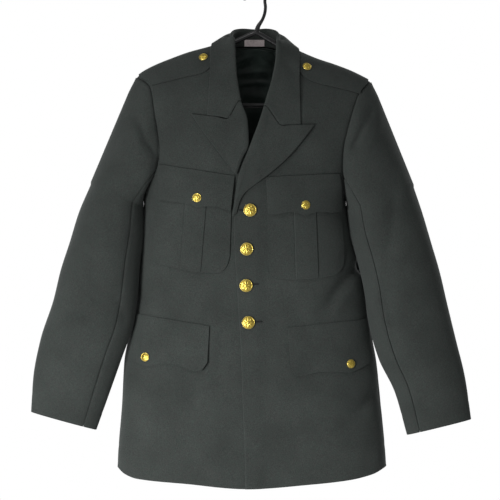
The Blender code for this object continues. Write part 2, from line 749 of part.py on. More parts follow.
LOWER_FLAP = {
    "right": table(
        "c    x_top  z_top   x_low  z_low",
        (0.00, -211.0, -586.0, -226.5, -664.0), (0.14, -192.0, -589.0, -209.0, -673.0),
        (0.26, -175.0, -592.0, -193.0, -679.5), (0.38, -158.0, -594.5, -176.0, -676.5),
        (0.52, -140.0, -597.5, -158.0, -673.5), (0.68, -120.0, -601.0, -137.0, -677.0),
        (0.86, -97.0, -604.5, -113.0, -685.5), (0.95, -86.0, -606.5, -97.0, -687.0),
        (1.00, -81.0, -607.0, -84.5, -672.0),
    ),
    "left": table(
        "c    x_top  z_top   x_low  z_low",
        (0.00, 58.0, -610.0, 63.5, -682.0), (0.06, 66.0, -609.0, 74.0, -696.0),
        (0.18, 83.0, -607.5, 90.0, -695.0), (0.38, 110.0, -604.5, 117.0, -688.5),
        (0.55, 135.0, -602.0, 143.0, -688.0), (0.70, 156.0, -600.0, 167.0, -690.5),
        (0.82, 172.0, -598.5, 184.0, -685.0), (0.92, 186.0, -596.5, 199.0, -677.0),
        (1.00, 197.0, -595.0, 210.0, -670.0),
    ),
}


def applied(name, side, shape, columns, rows, lift, thickness, material):
    """A patch on a front: a grid between its top and bottom lines, moved out."""
    outer, inner = [], []
    for r in range(rows + 1):
        v = r / rows
        above, below = [], []
        for c in columns:
            x = mix(read(shape, "c", "x_top", c), read(shape, "c", "x_low", c), v)
            z = mix(read(shape, "c", "z_top", c), read(shape, "c", "z_low", c), v)
            base = front_lift(side, x) + lift
            rise = read(shape, "c", "rise", c) if "rise" in shape else 0.0
            above.append(on_front(x, z, base + thickness + rise))
            below.append(on_front(x, z, base))
        outer.append(above)
        inner.append(below)
    return wall(name, outer, inner, material)


def make_applied(wool):
    for side in ("left", "right"):
        applied("breast_pocket_" + side, side, POCKET[side], POCKET[side]["c"], 8, LIE, PATCH, wool)
        steps = [i / 16 for i in range(17)]
        applied("breast_flap_" + side, side, BREAST_FLAP[side], steps, 5, FLAP_LIFT, FLAP, wool)
        applied("lower_flap_" + side, side, LOWER_FLAP[side], steps, 6, LIE, FLAP, wool)


# Shoulder loops by their share from under the collar to the sleeve head: reach below the shoulder line
LOOP = table("share front back", (0.0, 30.0, 1.0), (0.07, 41.0, 1.5), (0.2, 45.0, 2.0), (0.6, 41.0, 4.0),
             (1.0, 34.0, 7.0))
LOOP_ENDS = {
    "right": {"neck": -76.0, "ridge": -208.0, "front": -184.5},
    "left": {"neck": 75.0, "ridge": 203.0, "front": 188.0},
}


def loop_point(x, drop, lift):
    """A point on the shoulder, a drop below its line on the front, or on the back where negative."""
    z = shoulder_z(x) - abs(drop)
    return (on_front if drop >= 0 else on_back)(x, z, lift)


def make_loop(side, wool):
    ends = LOOP_ENDS[side]
    outer, inner = [], []
    for i in range(13):
        share = i / 12
        front, back = read(LOOP, "share", "front", share), read(LOOP, "share", "back", share)
        above, below = [], []
        for c in (1.0, 0.82, 0.65, 0.47, 0.3, 0.17, 0.07, 0.0, -0.5, -1.0):
            drop = c * (front if c > 0 else back)
            far = mix(ends["ridge"], ends["front"], ease(drop / 34.0))
            x = mix(ends["neck"], far, share)
            above.append(loop_point(x, drop, LOOP_LIFT + PATCH))
            below.append(loop_point(x, drop, LOOP_LIFT))
        outer.append(above)
        inner.append(below)
    return wall("shoulder_loop_" + side, outer, inner, wool)


# Lining and label inside the neck
def make_lining(satin):
    outer, inner = [], []
    for i in range(9):
        v = i / 8
        above, below = [], []
        for k in range(13):
            x = mix(-56.0, 56.0, k / 12)
            top = shoulder_z(x) - neck_drop(x) - 2.0
            z = mix(top, -330.0, v)
            spread = 1 + 1.1 * ease(v * 2.2)
            x *= spread
            inward = PANEL + mix(2.0, 0.8, ease(v * 3))
            above.append(on_back(x, z, -inward))
            below.append(on_back(x, z, -inward - LINING))
        outer.append(above)
        inner.append(below)
    return wall("lining_back", outer, inner, satin)


def make_label(cloth_label):
    outer, inner = [], []
    for z in (-91.0, -103.0):
        above, below = [], []
        for k in range(5):
            x = mix(-19.0, 17.0, k / 4)
            y = stand_inner_y(x, z) - GAP
            above.append(np.array([x, y, z]))
            below.append(np.array([x, y - LINING, z]))
        outer.append(above)
        inner.append(below)
    return wall("neck_label", outer, inner, cloth_label)


def stand_inner_y(x, z):
    """The inner face of the collar's stand behind the neck, at its least depth between its columns."""
    stations = [collar_station("right", "back", 1), collar_station("right", "back", 0),
                collar_station("right", "middle", 0), collar_station("left", "back", 0),
                collar_station("left", "back", 1)]
    depths = []
    for station in stations:
        seam, stand, turn = station[:3]
        low, high = (seam, stand) if z < stand[2] else (stand, turn)
        depths.append((seam[0], mix(low[1], high[1], (z - low[2]) / (high[2] - low[2]))))
    xs = [d[0] for d in depths]
    ys = [d[1] for d in depths]
    return float(np.interp(x, xs, ys)) - FOLDED / 2 - LABEL_CLEAR


# Buttons: a shank, a rolled rim and a dome
BUTTON_SIDES = 16


def make_button(name, diameter, place, normal, brass):
    radius = diameter / 2
    profile = [(0.16, 0.0), (0.16, 1.4), (0.94, 1.7), (1.0, 2.6), (0.90, 3.6), (0.55, 5.2)]
    bm = bmesh.new()
    up = normal / np.linalg.norm(normal)
    right = np.cross([0.0, 0.0, 1.0], up)
    right /= np.linalg.norm(right)
    ahead = np.cross(up, right)
    rings = []
    for share, height in profile:
        ring = []
        for i in range(BUTTON_SIDES):
            a = math.tau * i / BUTTON_SIDES
            p = place + up * height + (right * math.cos(a) + ahead * math.sin(a)) * radius * share
            ring.append(bm.verts.new(p * MM))
        rings.append(ring)
    for low, high in zip(rings, rings[1:]):
        for i in range(BUTTON_SIDES):
            j = (i + 1) % BUTTON_SIDES
            bm.faces.new((low[i], low[j], high[j], high[i]))
    bm.faces.new(rings[0])
    top = bm.verts.new((place + up * 6.1) * MM)
    for i in range(BUTTON_SIDES):
        bm.faces.new((rings[-1][i], rings[-1][(i + 1) % BUTTON_SIDES], top))
    closed_object(name, bm, brass)


FRONT_BUTTONS = ((-9.0, -401.0), (-15.0, -470.0), (-16.0, -535.0), (-12.0, -601.0))
SMALL_BUTTONS = {
    "shoulder_button_right": ("right", -92.0, -129.0, LOOP_LIFT + PATCH),
    "shoulder_button_left": ("left", 92.0, -146.0, LOOP_LIFT + PATCH),
    "breast_button_right": ("right", -102.0, -379.0, FLAP_LIFT + FLAP),
    "breast_button_left": ("left", 88.0, -392.0, FLAP_LIFT + FLAP),
    "lower_button_right": ("right", -194.0, -663.0, LIE + FLAP),
    "lower_button_left": ("left", 169.0, -675.0, LIE + FLAP),
}


def make_buttons(brass):
    for i, (x, z) in enumerate(FRONT_BUTTONS):
        place = on_front(x, z, front_lift("left", x) + GAP)
        make_button("front_button_" + str(i + 1), LARGE_BUTTON, place, ring_normal(ring_angle(x, z), z), brass)
    for name, (side, x, z, lift) in SMALL_BUTTONS.items():
        place = on_front(x, z, front_lift(side, x) + lift + GAP)
        make_button(name, SMALL_BUTTON, place, ring_normal(ring_angle(x, z), z), brass)


# Hanger: a closed loop of arms and bar, and the hook
BAR_Z = -212.0
ARM_END = 203.0
APEX = (2.0, -80.0)
ARM_DROP = PANEL + TUBE + 1.6  # the arms' centre line below the shoulder line


def hanger_loop():
    """Centre line of the arms and bar, in the middle plane of the coat."""
    points = [(APEX[0], APEX[1])]
    for towards in (1, -1):
        side = []
        for i in range(12):
            x = towards * mix(60.0, ARM_END - 14, i / 11)
            side.append((x, shoulder_z(x) - ARM_DROP))
        end_z = shoulder_z(towards * (ARM_END - 14)) - ARM_DROP
        side += [(towards * (ARM_END - 4), end_z - 6), (towards * (ARM_END + 1), end_z - 17),
                 (towards * (ARM_END - 2), BAR_Z + 12), (towards * (ARM_END - 10), BAR_Z + 3),
                 (towards * (ARM_END - 22), BAR_Z)]
        if towards == 1:
            points += side + [(100.0, BAR_Z), (0.0, BAR_Z), (-100.0, BAR_Z)]
        else:
            points += side[::-1]
    return [np.array([x, 0.0, z]) for x, z in points]


def tube_mesh(points, radius, sides, closed):
    bm = bmesh.new()
    rings = []
    count = len(points)
    for i, p in enumerate(points):
        before = points[(i - 1) % count] if closed or i > 0 else p
        after = points[(i + 1) % count] if closed or i < count - 1 else p
        along = (after - before) / np.linalg.norm(after - before)
        across = np.cross(along, [0.0, 1.0, 0.0])
        ring = []
        for k in range(sides):
            a = math.tau * k / sides
            q = p + (across * math.cos(a) + np.array([0.0, 1.0, 0.0]) * math.sin(a)) * radius
            ring.append(bm.verts.new(q * MM))
        rings.append(ring)
    pairs = list(zip(rings, rings[1:])) + ([(rings[-1], rings[0])] if closed else [])
    for low, high in pairs:
        for k in range(sides):
            j = (k + 1) % sides
            bm.faces.new((low[k], low[j], high[j], high[k]))
    if not closed:
        bm.faces.new(rings[0])
        bm.faces.new(rings[-1])
    return bm


def hook_line():
    """From the apex up the stem and round the hook, whose inside top is the origin."""
    top = -HOOK_WIRE
    centre = np.array([0.0, top - HOOK_RADIUS])
    points = [(APEX[0], APEX[1] - 1.0), (6.0, -70.0), (13.0, -61.0), (17.5, -51.0), (18.8, -40.0)]
    for degrees in range(-20, 201, 20):
        a = math.radians(degrees)
        points.append((centre[0] + HOOK_RADIUS * math.cos(a), centre[1] + HOOK_RADIUS * math.sin(a)))
    shift = HOOK_WIRE * 2
    return [np.array([x, 0.0, z + (shift if z > -45 else shift * ease((z + 78) / 33))]) for x, z in points]


def make_hanger(plastic):
    hanger = closed_object("hanger", tube_mesh(hanger_loop(), TUBE, 10, True), plastic)
    hook = closed_object("hanger_hook_form", tube_mesh(hook_line(), HOOK_WIRE, 10, False), plastic)
    join = hanger.modifiers.new("hook", "BOOLEAN")
    join.operation = "UNION"
    join.object = hook
    hook.hide_render = True
    hook.display_type = "WIRE"


def main():
    for obj in list(bpy.data.objects):
        bpy.data.objects.remove(obj, do_unlink=True)
    wool = finish("coat_wool", (0.042, 0.054, 0.050), 0.9)
    satin = finish("lining_satin", (0.030, 0.050, 0.042), 0.4)
    brass = finish("button_gilt", (0.80, 0.56, 0.16), 0.3, 1.0)
    label = finish("label_cloth", (0.72, 0.62, 0.62), 0.8)
    plastic = finish("hanger_black", (0.012, 0.012, 0.013), 0.35)
    for side in ("left", "right"):
        make_front(side, wool)
        make_back(side, wool)
        make_sleeve(side, wool)
        make_lapel(side, wool)
        make_loop(side, wool)
    make_collar(wool)
    make_applied(wool)
    make_lining(satin)
    make_label(label)
    make_buttons(brass)
    make_hanger(plastic)


main()
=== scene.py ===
import math
import bpy
import bmesh
import numpy as np
from mathutils import Matrix, Vector


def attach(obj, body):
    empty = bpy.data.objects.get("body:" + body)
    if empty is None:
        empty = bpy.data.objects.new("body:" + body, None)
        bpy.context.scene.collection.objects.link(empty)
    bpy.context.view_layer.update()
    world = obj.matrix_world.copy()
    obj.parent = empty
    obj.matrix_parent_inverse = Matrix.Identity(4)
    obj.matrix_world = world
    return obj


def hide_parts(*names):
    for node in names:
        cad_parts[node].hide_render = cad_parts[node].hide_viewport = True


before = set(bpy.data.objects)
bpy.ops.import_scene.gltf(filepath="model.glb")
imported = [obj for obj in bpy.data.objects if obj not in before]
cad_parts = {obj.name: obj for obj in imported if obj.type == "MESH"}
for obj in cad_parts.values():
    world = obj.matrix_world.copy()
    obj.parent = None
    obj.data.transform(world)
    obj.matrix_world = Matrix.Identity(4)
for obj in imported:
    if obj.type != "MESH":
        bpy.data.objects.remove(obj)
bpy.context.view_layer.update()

# Sizes are in millimetres until a mesh is made: x to the viewer's right, y to the back, z up
MM = 0.001
GAP = 0.3
SEAM_HALF = 0.2
SEAM_DIP = 1.3
LIE = 0.9
CENTRE = -13.0
SQUARE = 2.5
SHOULDER_ROUND = 110.0
NECK_HALF = 62.0
NECK_BACK = 0.72
PANEL = 2.0
FOLDED = 2.0
PATCH = 1.5
FLAP = 2.0
LINING = 1.0
LOOP_LIFT = 1.2
PLEAT = 1.5
FLAP_LIFT = LIE + PATCH + PLEAT + GAP
LAP_OUT = 2.0
LAP_IN = -1.5
LAP_EDGE, LAP_FADE = 6.0, 12.0
UNDER_EDGE, UNDER_FADE = -75.0, 27.0
LARGE_BUTTON = 22.9
SMALL_BUTTON = 15.9
TUBE = 4.5
HOOK_WIRE = 2.9
HOOK_RADIUS = 18.9
PHOTO_PIXEL = 1.8
SEAM_WIDTH = 2.4
HEM_DEPTH = 38.0
CUFF_DEPTH = 36.0
FELL_WIDTH = 3.5
ARMPIT_FLUSH = 34.0
TOWARDS = {"left": 1, "right": -1}


def mix(a, b, t):
    return a + (b - a) * t


def ease(t):
    t = np.clip(t, 0.0, 1.0)
    return t * t * (3 - 2 * t)


def smooth_step(a, b, leave, arrive, span, u):
    """A point between a and b on the curve with the given slopes at its ends."""
    return (a * (2 * u ** 3 - 3 * u ** 2 + 1) + b * (3 * u ** 2 - 2 * u ** 3)
            + span * (leave * (u ** 3 - 2 * u ** 2 + u) + arrive * (u ** 3 - u ** 2)))


def curve(keys, values):
    """A smooth curve through a table's points, with no overshoot."""
    x, y = np.array(keys, float), np.array(values, float)
    step = np.diff(x)
    chord = np.diff(y) / step
    slope = np.empty_like(y)
    slope[0], slope[-1] = chord[0], chord[-1]
    before, after = chord[:-1], chord[1:]
    both = np.where(before + after == 0, 1.0, before + after)
    slope[1:-1] = np.where(before * after > 0, 2 * before * after / both, 0.0)

    def at(t):
        t = np.clip(t, x[0], x[-1])
        i = np.clip(np.searchsorted(x, t, "right") - 1, 0, len(x) - 2)
        u = (t - x[i]) / step[i]
        return smooth_step(y[i], y[i + 1], slope[i], slope[i + 1], step[i], u)

    return at


def curves(names, *rows):
    """A table's columns as curves over its first column, and that column's values."""
    columns = np.array(rows, float).T
    made = {name: curve(columns[0], column) for name, column in zip(names.split(), columns)}
    made["at"] = columns[0]
    return made


BODY = curves(
    "z     left    right  front  back",
    (-910, -247, 237, 80, 74),
    (-864, -247, 236, 82, 76),
    (-745, -239, 226, 86, 76),
    (-670, -235, 218, 88, 74),
    (-637, -229, 212, 88, 72),
    (-590, -218, 204.5, 87, 70),
    (-547, -213, 199, 87, 70),
    (-491, -208, 185.5, 90, 74),
    (-437, -204, 172, 93, 80),
    (-382, -200, 163.5, 95, 86),
    (-340, -201, 176, 95, 90),
    (-295, -205, 190, 92, 90),
    (-230, -214, 210, 82, 86),
    (-184, -224, 232, 70, 82),
    (-150, -232, 244, 62, 80),
    (-60, -240, 250, 56, 80),
)
shoulder_z = curves(
    "x     z",
    (-214, -162), (-198, -151), (-176, -140), (-151, -130), (-121, -119), (-73, -105.5),
    (-62, -101), (0, -70), (62, -107), (75, -114), (112, -130), (142, -140), (171, -151),
    (194, -162), (209, -170),
)["z"]
hem_z = curves(
    "x     z",
    (-247, -862), (-234, -873), (-211, -881), (-121, -889), (-16, -898), (100, -890),
    (167, -883), (211, -873), (237, -860),
)["z"]
HEM_ENDS = {"right": -862.0, "left": -860.0}
ARMHOLE = {
    "right": curves(
        "z     x",
        (-374, -200.2), (-355, -190), (-340, -181.5), (-318, -174), (-295, -171), (-257, -175),
        (-223, -181), (-195, -185), (-180, -189), (-170, -198), (-162, -214),
    ),
    "left": curves(
        "z     x",
        (-384, 163.7), (-366, 159.5), (-325, 157), (-294, 158.5), (-261, 165), (-225, 175),
        (-203, 182), (-188, 189), (-177, 198), (-170, 209),
    ),
}
ARMHOLE_BACK = 5.0
FRONT_EDGE = {
    "left": curves(
        "z     x",
        (-910, -17.5), (-855, -18), (-745, -22), (-635, -26), (-574, -30), (-416, -37.5),
        (-395, -31), (-344, -22), (-284, 0), (-241, 16), (-193, 30), (-166, 38), (-140, 44),
        (-122, 51), (-112, 57.5), (-107, 62),
    ),
    "right": curves(
        "z     x",
        (-910, -3), (-400, -3), (-330, -4), (-300, -10), (-272, -17), (-241, -21), (-221, -28),
        (-185, -38), (-155, -42), (-130, -46), (-113, -53), (-104, -59), (-101, -62),
    ),
}
ROLL = {
    "left": curves(
        "z     x",
        (-412, -40.5), (-400, -38), (-344, -29), (-284, -7), (-241, 9), (-193, 23), (-166, 31),
        (-130, 37), (-95, 38.5),
    )["x"],
    "right": curves(
        "z     x",
        (-342, -35), (-310, -23.5), (-284, -12), (-237, -14.5), (-221, -21), (-185, -31),
        (-125, -35), (-82, -37),
    )["x"],
}
# The large drag folds: x1 z1 x2 z2 width depth
DRAG_FOLDS = (
    (189, -500, 116, -582, 13, 3),
    (217, -734, 162, -778, 14, 3),
    (-88, -625, -125, -770, 20, 2),
    (60, -560, 110, -640, 18, 1.6),
    (-145, -525, -198, -556, 12, 2),
)
# Fine creases, fading at both ends: x1 z1 x2 z2 bow width depth, where a ridge's depth is negative
FRONT_CREASES = (
    (-62, -598, -72, -752, 3, 9, 1.9),
    (195, -492, 126, -578, -4, 9, 6.5),
    (221, -714, 172, -778, 3, 9, 3.4),
    (-172, -300, -150, -352, 4, 8, 1.1),
    (148, -300, 126, -342, -3, 8, 1),
    (96, -540, 44, -604, 6, 11, 1.1),
    (180, -452, 150, -520, -5, 9, 1.5),
    (200, -516, 142, -584, -8, 8, -2.4),
    (-196, -470, -158, -548, 5, 9, 1.3),
    (-188, -548, -140, -506, 3, 6, -0.9),
    (214, -790, 198, -872, 2, 11, 1.4),
    (208, -752, 150, -790, -4, 7, -1.3),
    (-218, -752, -196, -860, -3, 13, 1.5),
    (-128, -786, -116, -884, 2, 15, 1.3),
    (58, -722, 82, -858, -4, 17, 1.5),
    (8, -690, 2, -872, 2, 16, 0.9),
    (16, -414, 58, -446, 2, 7, 0.6),
    (-44, -474, -86, -500, 2, 8, 0.5),
    (12, -540, 50, -556, -2, 7, 0.6),
    (-34, -606, -74, -598, -2, 8, 0.7),
)
BACK_CREASES = (
    (-172, -318, -120, -404, 6, 12, 2),
    (148, -326, 96, -410, -6, 12, 1.8),
    (-150, -520, -60, -566, 5, 14, 1.6),
    (128, -508, 34, -560, -6, 13, 1.9),
    (-178, -590, -96, -612, 4, 10, 1.1),
    (-120, -700, -134, -868, -4, 20, 1.9),
    (84, -690, 104, -872, 4, 18, 1.7),
    (170, -640, 186, -800, 3, 15, 1.2),
    (-60, -210, -34, -300, 3, 14, 0.9),
    (52, -214, 30, -296, -3, 13, 0.8),
)


def troughs(x, z, folds):
    total = np.zeros(np.broadcast(x, z).shape)
    for x1, z1, x2, z2, width, depth in folds:
        dx, dz = x2 - x1, z2 - z1
        t = np.clip(((x - x1) * dx + (z - z1) * dz) / (dx * dx + dz * dz), 0, 1)
        away = np.hypot(x - x1 - dx * t, z - z1 - dz * t) / width
        total = total + depth * np.exp(-away ** 2)
    return total


def creases(x, z, rows):
    total = np.zeros(np.broadcast(x, z).shape)
    for x1, z1, x2, z2, bow, width, depth in rows:
        length = math.hypot(x2 - x1, z2 - z1)
        dx, dz = (x2 - x1) / length, (z2 - z1) / length
        along = ((x - x1) * dx + (z - z1) * dz) / length
        aside = (z - z1) * dx - (x - x1) * dz
        t = np.clip(along, 0, 1)
        off = (aside - bow * np.sin(math.pi * t)) / width
        beyond = (along - t) * length / width
        fade = 0.25 + 0.75 * np.sin(math.pi * t) ** 0.8
        total = total + depth * fade * np.exp(-off ** 2 - beyond ** 2)
    return total


def closing(x, z):
    below = np.clip((shoulder_z(x) - z) / SHOULDER_ROUND, 0.0, 1.0)
    return np.sqrt(np.maximum(1 - (1 - below) ** 2, 0.0))


def half_width(to_right, z):
    return np.where(to_right, BODY["right"](z) - CENTRE, CENTRE - BODY["left"](z))


def ring_point(angle, z):
    """A point of the coat's ring at a height: angle 0 at the viewer's right, a quarter turn at the front."""
    c, s = np.cos(angle), np.sin(angle)
    x = CENTRE + half_width(c > 0, z) * np.sign(c) * np.abs(c) ** (2 / SQUARE)
    depth = np.where(s > 0, BODY["front"](z), BODY["back"](z))
    y = -depth * np.sign(s) * np.abs(s) ** (2 / SQUARE) * closing(x, z)
    return np.stack(np.broadcast_arrays(x, y, z), -1)


def ring_angle(x, z, back=False):
    half = half_width(x > CENTRE, z)
    share = np.minimum(np.abs(x - CENTRE) / half, 1.0) ** (SQUARE / 2)
    angle = np.arccos(np.copysign(share, x - CENTRE))
    return -angle if back else angle


def unit(v):
    return v / np.maximum(np.linalg.norm(v, axis=-1, keepdims=True), 1e-12)


def ring_normal(angle, z):
    here = ring_point(angle, z)
    below = shoulder_z(here[..., 0]) - z
    rise = np.clip(below * 0.4, 0.05, 1.5)
    across = ring_point(angle + 0.02, z) - ring_point(angle - 0.02, z)
    up = ring_point(angle, z + rise) - ring_point(angle, z - rise)
    normal = np.cross(across, up)
    outward = here - np.stack(np.broadcast_arrays(CENTRE, 0.0, z), -1)
    ridge = below < 0.2
    flat = normal * np.array([1.0, 0.0, 1.0])
    flat = flat * np.where(flat[..., 2:] > 0, 1.0, -1.0)
    turned = normal * np.where(np.sum(normal * outward, -1, keepdims=True) > 0, 1.0, -1.0)
    return unit(np.where(ridge[..., None], flat, turned))


def cloth(angle, z, lift=0.0):
    """The coat's surface moved out by a lift, with its folds and creases."""
    angle, z, lift = np.broadcast_arrays(np.asarray(angle, float), np.asarray(z, float), lift)
    point = ring_point(angle, z)
    x = point[..., 0]
    front = np.sin(angle) > 0
    rounding = ease(closing(x, z) / 0.7)
    pressed = np.where(front, troughs(x, z, DRAG_FOLDS) + creases(x, z, FRONT_CREASES) * rounding,
                       creases(x, z, BACK_CREASES) * rounding * ease(-np.sin(angle) / 0.25))
    return point + ring_normal(angle, z) * (lift - pressed)[..., None]


def on_front(x, z, lift=0.0):
    x, z = np.asarray(x, float), np.asarray(z, float)
    return cloth(ring_angle(x, z), z, lift)


def on_back(x, z, lift=0.0):
    x, z = np.asarray(x, float), np.asarray(z, float)
    return cloth(ring_angle(x, z, True), z, lift)


def front_lift(side, x):
    if side == "left":
        return LAP_OUT * (1 - ease((x - LAP_EDGE) / LAP_FADE))
    return LAP_IN * ease((x - UNDER_EDGE) / UNDER_FADE)


# Meshes from grids of points
def spaced(count, start=True, end=True):
    """Even steps from 0 to 1, with closer ones by the ends that are named."""
    near = np.array([0.004, 0.009])
    rows = [np.linspace(0, 1, count + 1)]
    rows += [near] if start else []
    rows += [1 - near] if end else []
    return np.unique(np.concatenate(rows))


def grid_normals(grid):
    along, down = np.gradient(grid, axis=1), np.gradient(grid, axis=0)
    return unit(np.cross(along, down))


def lengths(grid, axis):
    """Distances along a grid's rows or columns, from its first point."""
    steps = np.linalg.norm(np.diff(grid, axis=axis), axis=-1)
    zero = np.zeros_like(np.take(steps, [0], axis=axis))
    return np.concatenate([zero, np.cumsum(steps, axis=axis)], axis=axis)


def drawn_in(grid, amount):
    """The border comes in a little, so that the edge of the cloth is round."""
    result = grid.copy()
    for border, inside in ((np.s_[0], np.s_[1]), (np.s_[-1], np.s_[-2]),
                           (np.s_[:, 0], np.s_[:, 1]), (np.s_[:, -1], np.s_[:, -2])):
        way = grid[inside] - grid[border]
        size = np.linalg.norm(way, axis=-1, keepdims=True)
        result[border] += unit(way) * np.minimum(amount, 0.45 * size)
    return result


def mesh_piece(name, points, faces, finishes, face_finish=None, uv=None):
    mesh = bpy.data.meshes.new(name)
    mesh.from_pydata((np.asarray(points) * MM).tolist(), [], faces)
    for each in finishes:
        mesh.materials.append(each)
    if face_finish is not None:
        mesh.polygons.foreach_set("material_index", np.asarray(face_finish, np.int32))
    bm = bmesh.new()
    bm.from_mesh(mesh)
    bmesh.ops.recalc_face_normals(bm, faces=bm.faces)
    bm.to_mesh(mesh)
    bm.free()
    mesh.shade_smooth()
    if uv is not None:
        corner = np.empty(len(mesh.loops), np.int32)
        mesh.loops.foreach_get("vertex_index", corner)
        layer = mesh.uv_layers.new(name="cloth_grain")
        layer.data.foreach_set("uv", (np.asarray(uv)[corner] * MM).astype(np.float32).ravel())
    piece = bpy.data.objects.new(name, mesh)
    bpy.context.scene.collection.objects.link(piece)
    return piece


def shell(name, outer, inner, finishes):
    """A closed wall between two grids of points, with a round rim."""
    rows, cols = outer.shape[:2]
    thick = float(np.median(np.linalg.norm(outer - inner, axis=-1)))
    middle = (outer + inner) / 2
    grids = [drawn_in(outer, 0.4 * thick), drawn_in(inner, 0.4 * thick)]
    border = [(0, c) for c in range(cols - 1)] + [(r, cols - 1) for r in range(rows - 1)]
    border += [(rows - 1, c) for c in range(cols - 1, 0, -1)] + [(r, 0) for r in range(rows - 1, 0, -1)]
    ring = np.array([r * cols + c for r, c in border])
    rim = middle.reshape(-1, 3)[ring]
    points = np.concatenate([grids[0].reshape(-1, 3), grids[1].reshape(-1, 3), rim])
    first = np.arange(rows - 1)[:, None] * cols + np.arange(cols - 1)[None, :]
    quads = np.stack([first, first + 1, first + cols + 1, first + cols], -1).reshape(-1, 4)
    size = rows * cols
    edge = np.arange(len(ring))
    after = np.roll(edge, -1)
    over = np.stack([ring[after], ring, edge + 2 * size, after + 2 * size], -1)
    under = np.stack([ring + size, ring[after] + size, after + 2 * size, edge + 2 * size], -1)
    faces = np.concatenate([quads, quads[:, ::-1] + size, over, under])
    kinds = np.concatenate([np.zeros(len(quads)), np.ones(len(quads)), np.zeros(len(over)), np.zeros(len(under))])
    grain = np.stack([lengths(middle, 1), lengths(middle, 0)], -1).reshape(-1, 2)
    uv = np.concatenate([grain, grain, grain[ring]])
    kinds = kinds if len(finishes) > 1 else None
    return mesh_piece(name, points, faces.tolist(), finishes, kinds, uv), middle


def settle(piece, solid=None):
    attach(piece, "root")
    if solid:
        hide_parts(solid)


def cloth_piece(name, solid, outer, inner, finishes, held, rests_on):
    """A sheet of cloth that stands for a solid, with its cut measured along its own middle."""
    piece, middle = shell(name, outer, inner, finishes)
    settle(piece, solid)


def under(side, *kinds):
    """The names of the cloths that a piece lies on."""
    return [kind + "_" + side + "_cloth" for kind in kinds]


def through(grid, axis, count):
    """A finer grid on smooth curves through a coarse one, along one of its directions."""
    points = np.moveaxis(grid, axis, 0)
    step = np.linalg.norm(np.diff(points, axis=0), axis=-1).mean(axis=1)
    keys = np.concatenate([[0.0], np.cumsum(step)])
    chord = np.diff(points, axis=0) / step[:, None, None]
    slope = np.empty_like(points)
    slope[0], slope[-1] = chord[0], chord[-1]
    share = (step[:-1] / (step[:-1] + step[1:]))[:, None, None]
    slope[1:-1] = chord[:-1] * (1 - share) + chord[1:] * share
    t = np.concatenate([mix(keys[i], keys[i + 1], np.arange(count) / count) for i in range(len(step))] + [keys[-1:]])
    i = np.clip(np.searchsorted(keys, t, "right") - 1, 0, len(step) - 1)
    u = ((t - keys[i]) / step[i])[:, None, None]
    made = smooth_step(points[i], points[i + 1], slope[i], slope[i + 1], step[i][:, None, None], u)
    return np.moveaxis(made, 0, axis)


def thickened(grid, thickness):
    normals = grid_normals(grid)
    return grid + normals * thickness / 2, grid - normals * thickness / 2


# Finishes
def node(tree, kind, **values):
    made = tree.nodes.new(kind)
    for key, value in values.items():
        setattr(made, key, value)
    return made


def finish(name, colour, roughness, **more):
    """A material with its tree and shader, and the piece's own coordinates: solid, and along the cloth."""
    material = bpy.data.materials.new(name)
    material.use_nodes = True
    tree = material.node_tree
    shader = tree.nodes["Principled BSDF"]
    shader.inputs["Base Color"].default_value = (*colour, 1.0)
    shader.inputs["Roughness"].default_value = roughness
    shader.inputs["Sheen Roughness"].default_value = 0.55
    for socket, value in more.items():
        shader.inputs[socket.replace("_", " ")].default_value = value
    place = node(tree, "ShaderNodeTexCoord")
    return material, tree, shader, place.outputs["Object"], place.outputs["UV"]


def noise(tree, source, scale, detail=3.0, rough=0.6):
    made = node(tree, "ShaderNodeTexNoise")
    made.inputs["Scale"].default_value = scale
    made.inputs["Detail"].default_value = detail
    made.inputs["Roughness"].default_value = rough
    tree.links.new(source, made.inputs["Vector"])
    return made.outputs["Fac"]


def ramp(tree, source, *stops):
    """Colours by place; a single number is a grey."""
    made = node(tree, "ShaderNodeValToRGB")
    elements = made.color_ramp.elements
    while len(elements) < len(stops):
        elements.new(0.5)
    for element, (place, colour) in zip(elements, stops):
        element.position = place
        element.color = (*(colour if isinstance(colour, tuple) else (colour,) * 3), 1.0)
    tree.links.new(source, made.inputs["Fac"])
    return made.outputs["Color"]


def blended(tree, a, b):
    made = node(tree, "ShaderNodeMix", data_type="RGBA", blend_type="MULTIPLY")
    made.inputs["Factor"].default_value = 1.0
    tree.links.new(a, made.inputs["A"])
    tree.links.new(b, made.inputs["B"])
    return made.outputs["Result"]


def bump(tree, shader, strength, distance, *parts):
    """Relief from several textures, each with its weight."""
    total = None
    for source, weight in parts:
        scaled = node(tree, "ShaderNodeMath", operation="MULTIPLY_ADD")
        tree.links.new(source, scaled.inputs[0])
        scaled.inputs[1].default_value = weight
        scaled.inputs[2].default_value = 0.0
        if total is not None:
            tree.links.new(total, scaled.inputs[2])
        total = scaled.outputs[0]
    made = node(tree, "ShaderNodeBump")
    made.inputs["Strength"].default_value = strength
    made.inputs["Distance"].default_value = distance
    tree.links.new(total, made.inputs["Height"])
    tree.links.new(made.outputs["Normal"], shader.inputs["Normal"])


def ribs(tree, source, pitch, turn=0.0, soft=0.0):
    """Even ribs at a pitch in metres, turned in the cloth's plane."""
    place = node(tree, "ShaderNodeMapping")
    place.inputs["Rotation"].default_value = (0.0, 0.0, turn)
    tree.links.new(source, place.inputs["Vector"])
    made = node(tree, "ShaderNodeTexWave", wave_type="BANDS", bands_direction="X")
    made.inputs["Scale"].default_value = 0.314 / pitch
    made.inputs["Distortion"].default_value = soft
    made.inputs["Detail"].default_value = 2.0
    made.inputs["Detail Scale"].default_value = 2.0
    tree.links.new(place.outputs["Vector"], made.inputs["Vector"])
    return made.outputs["Fac"]


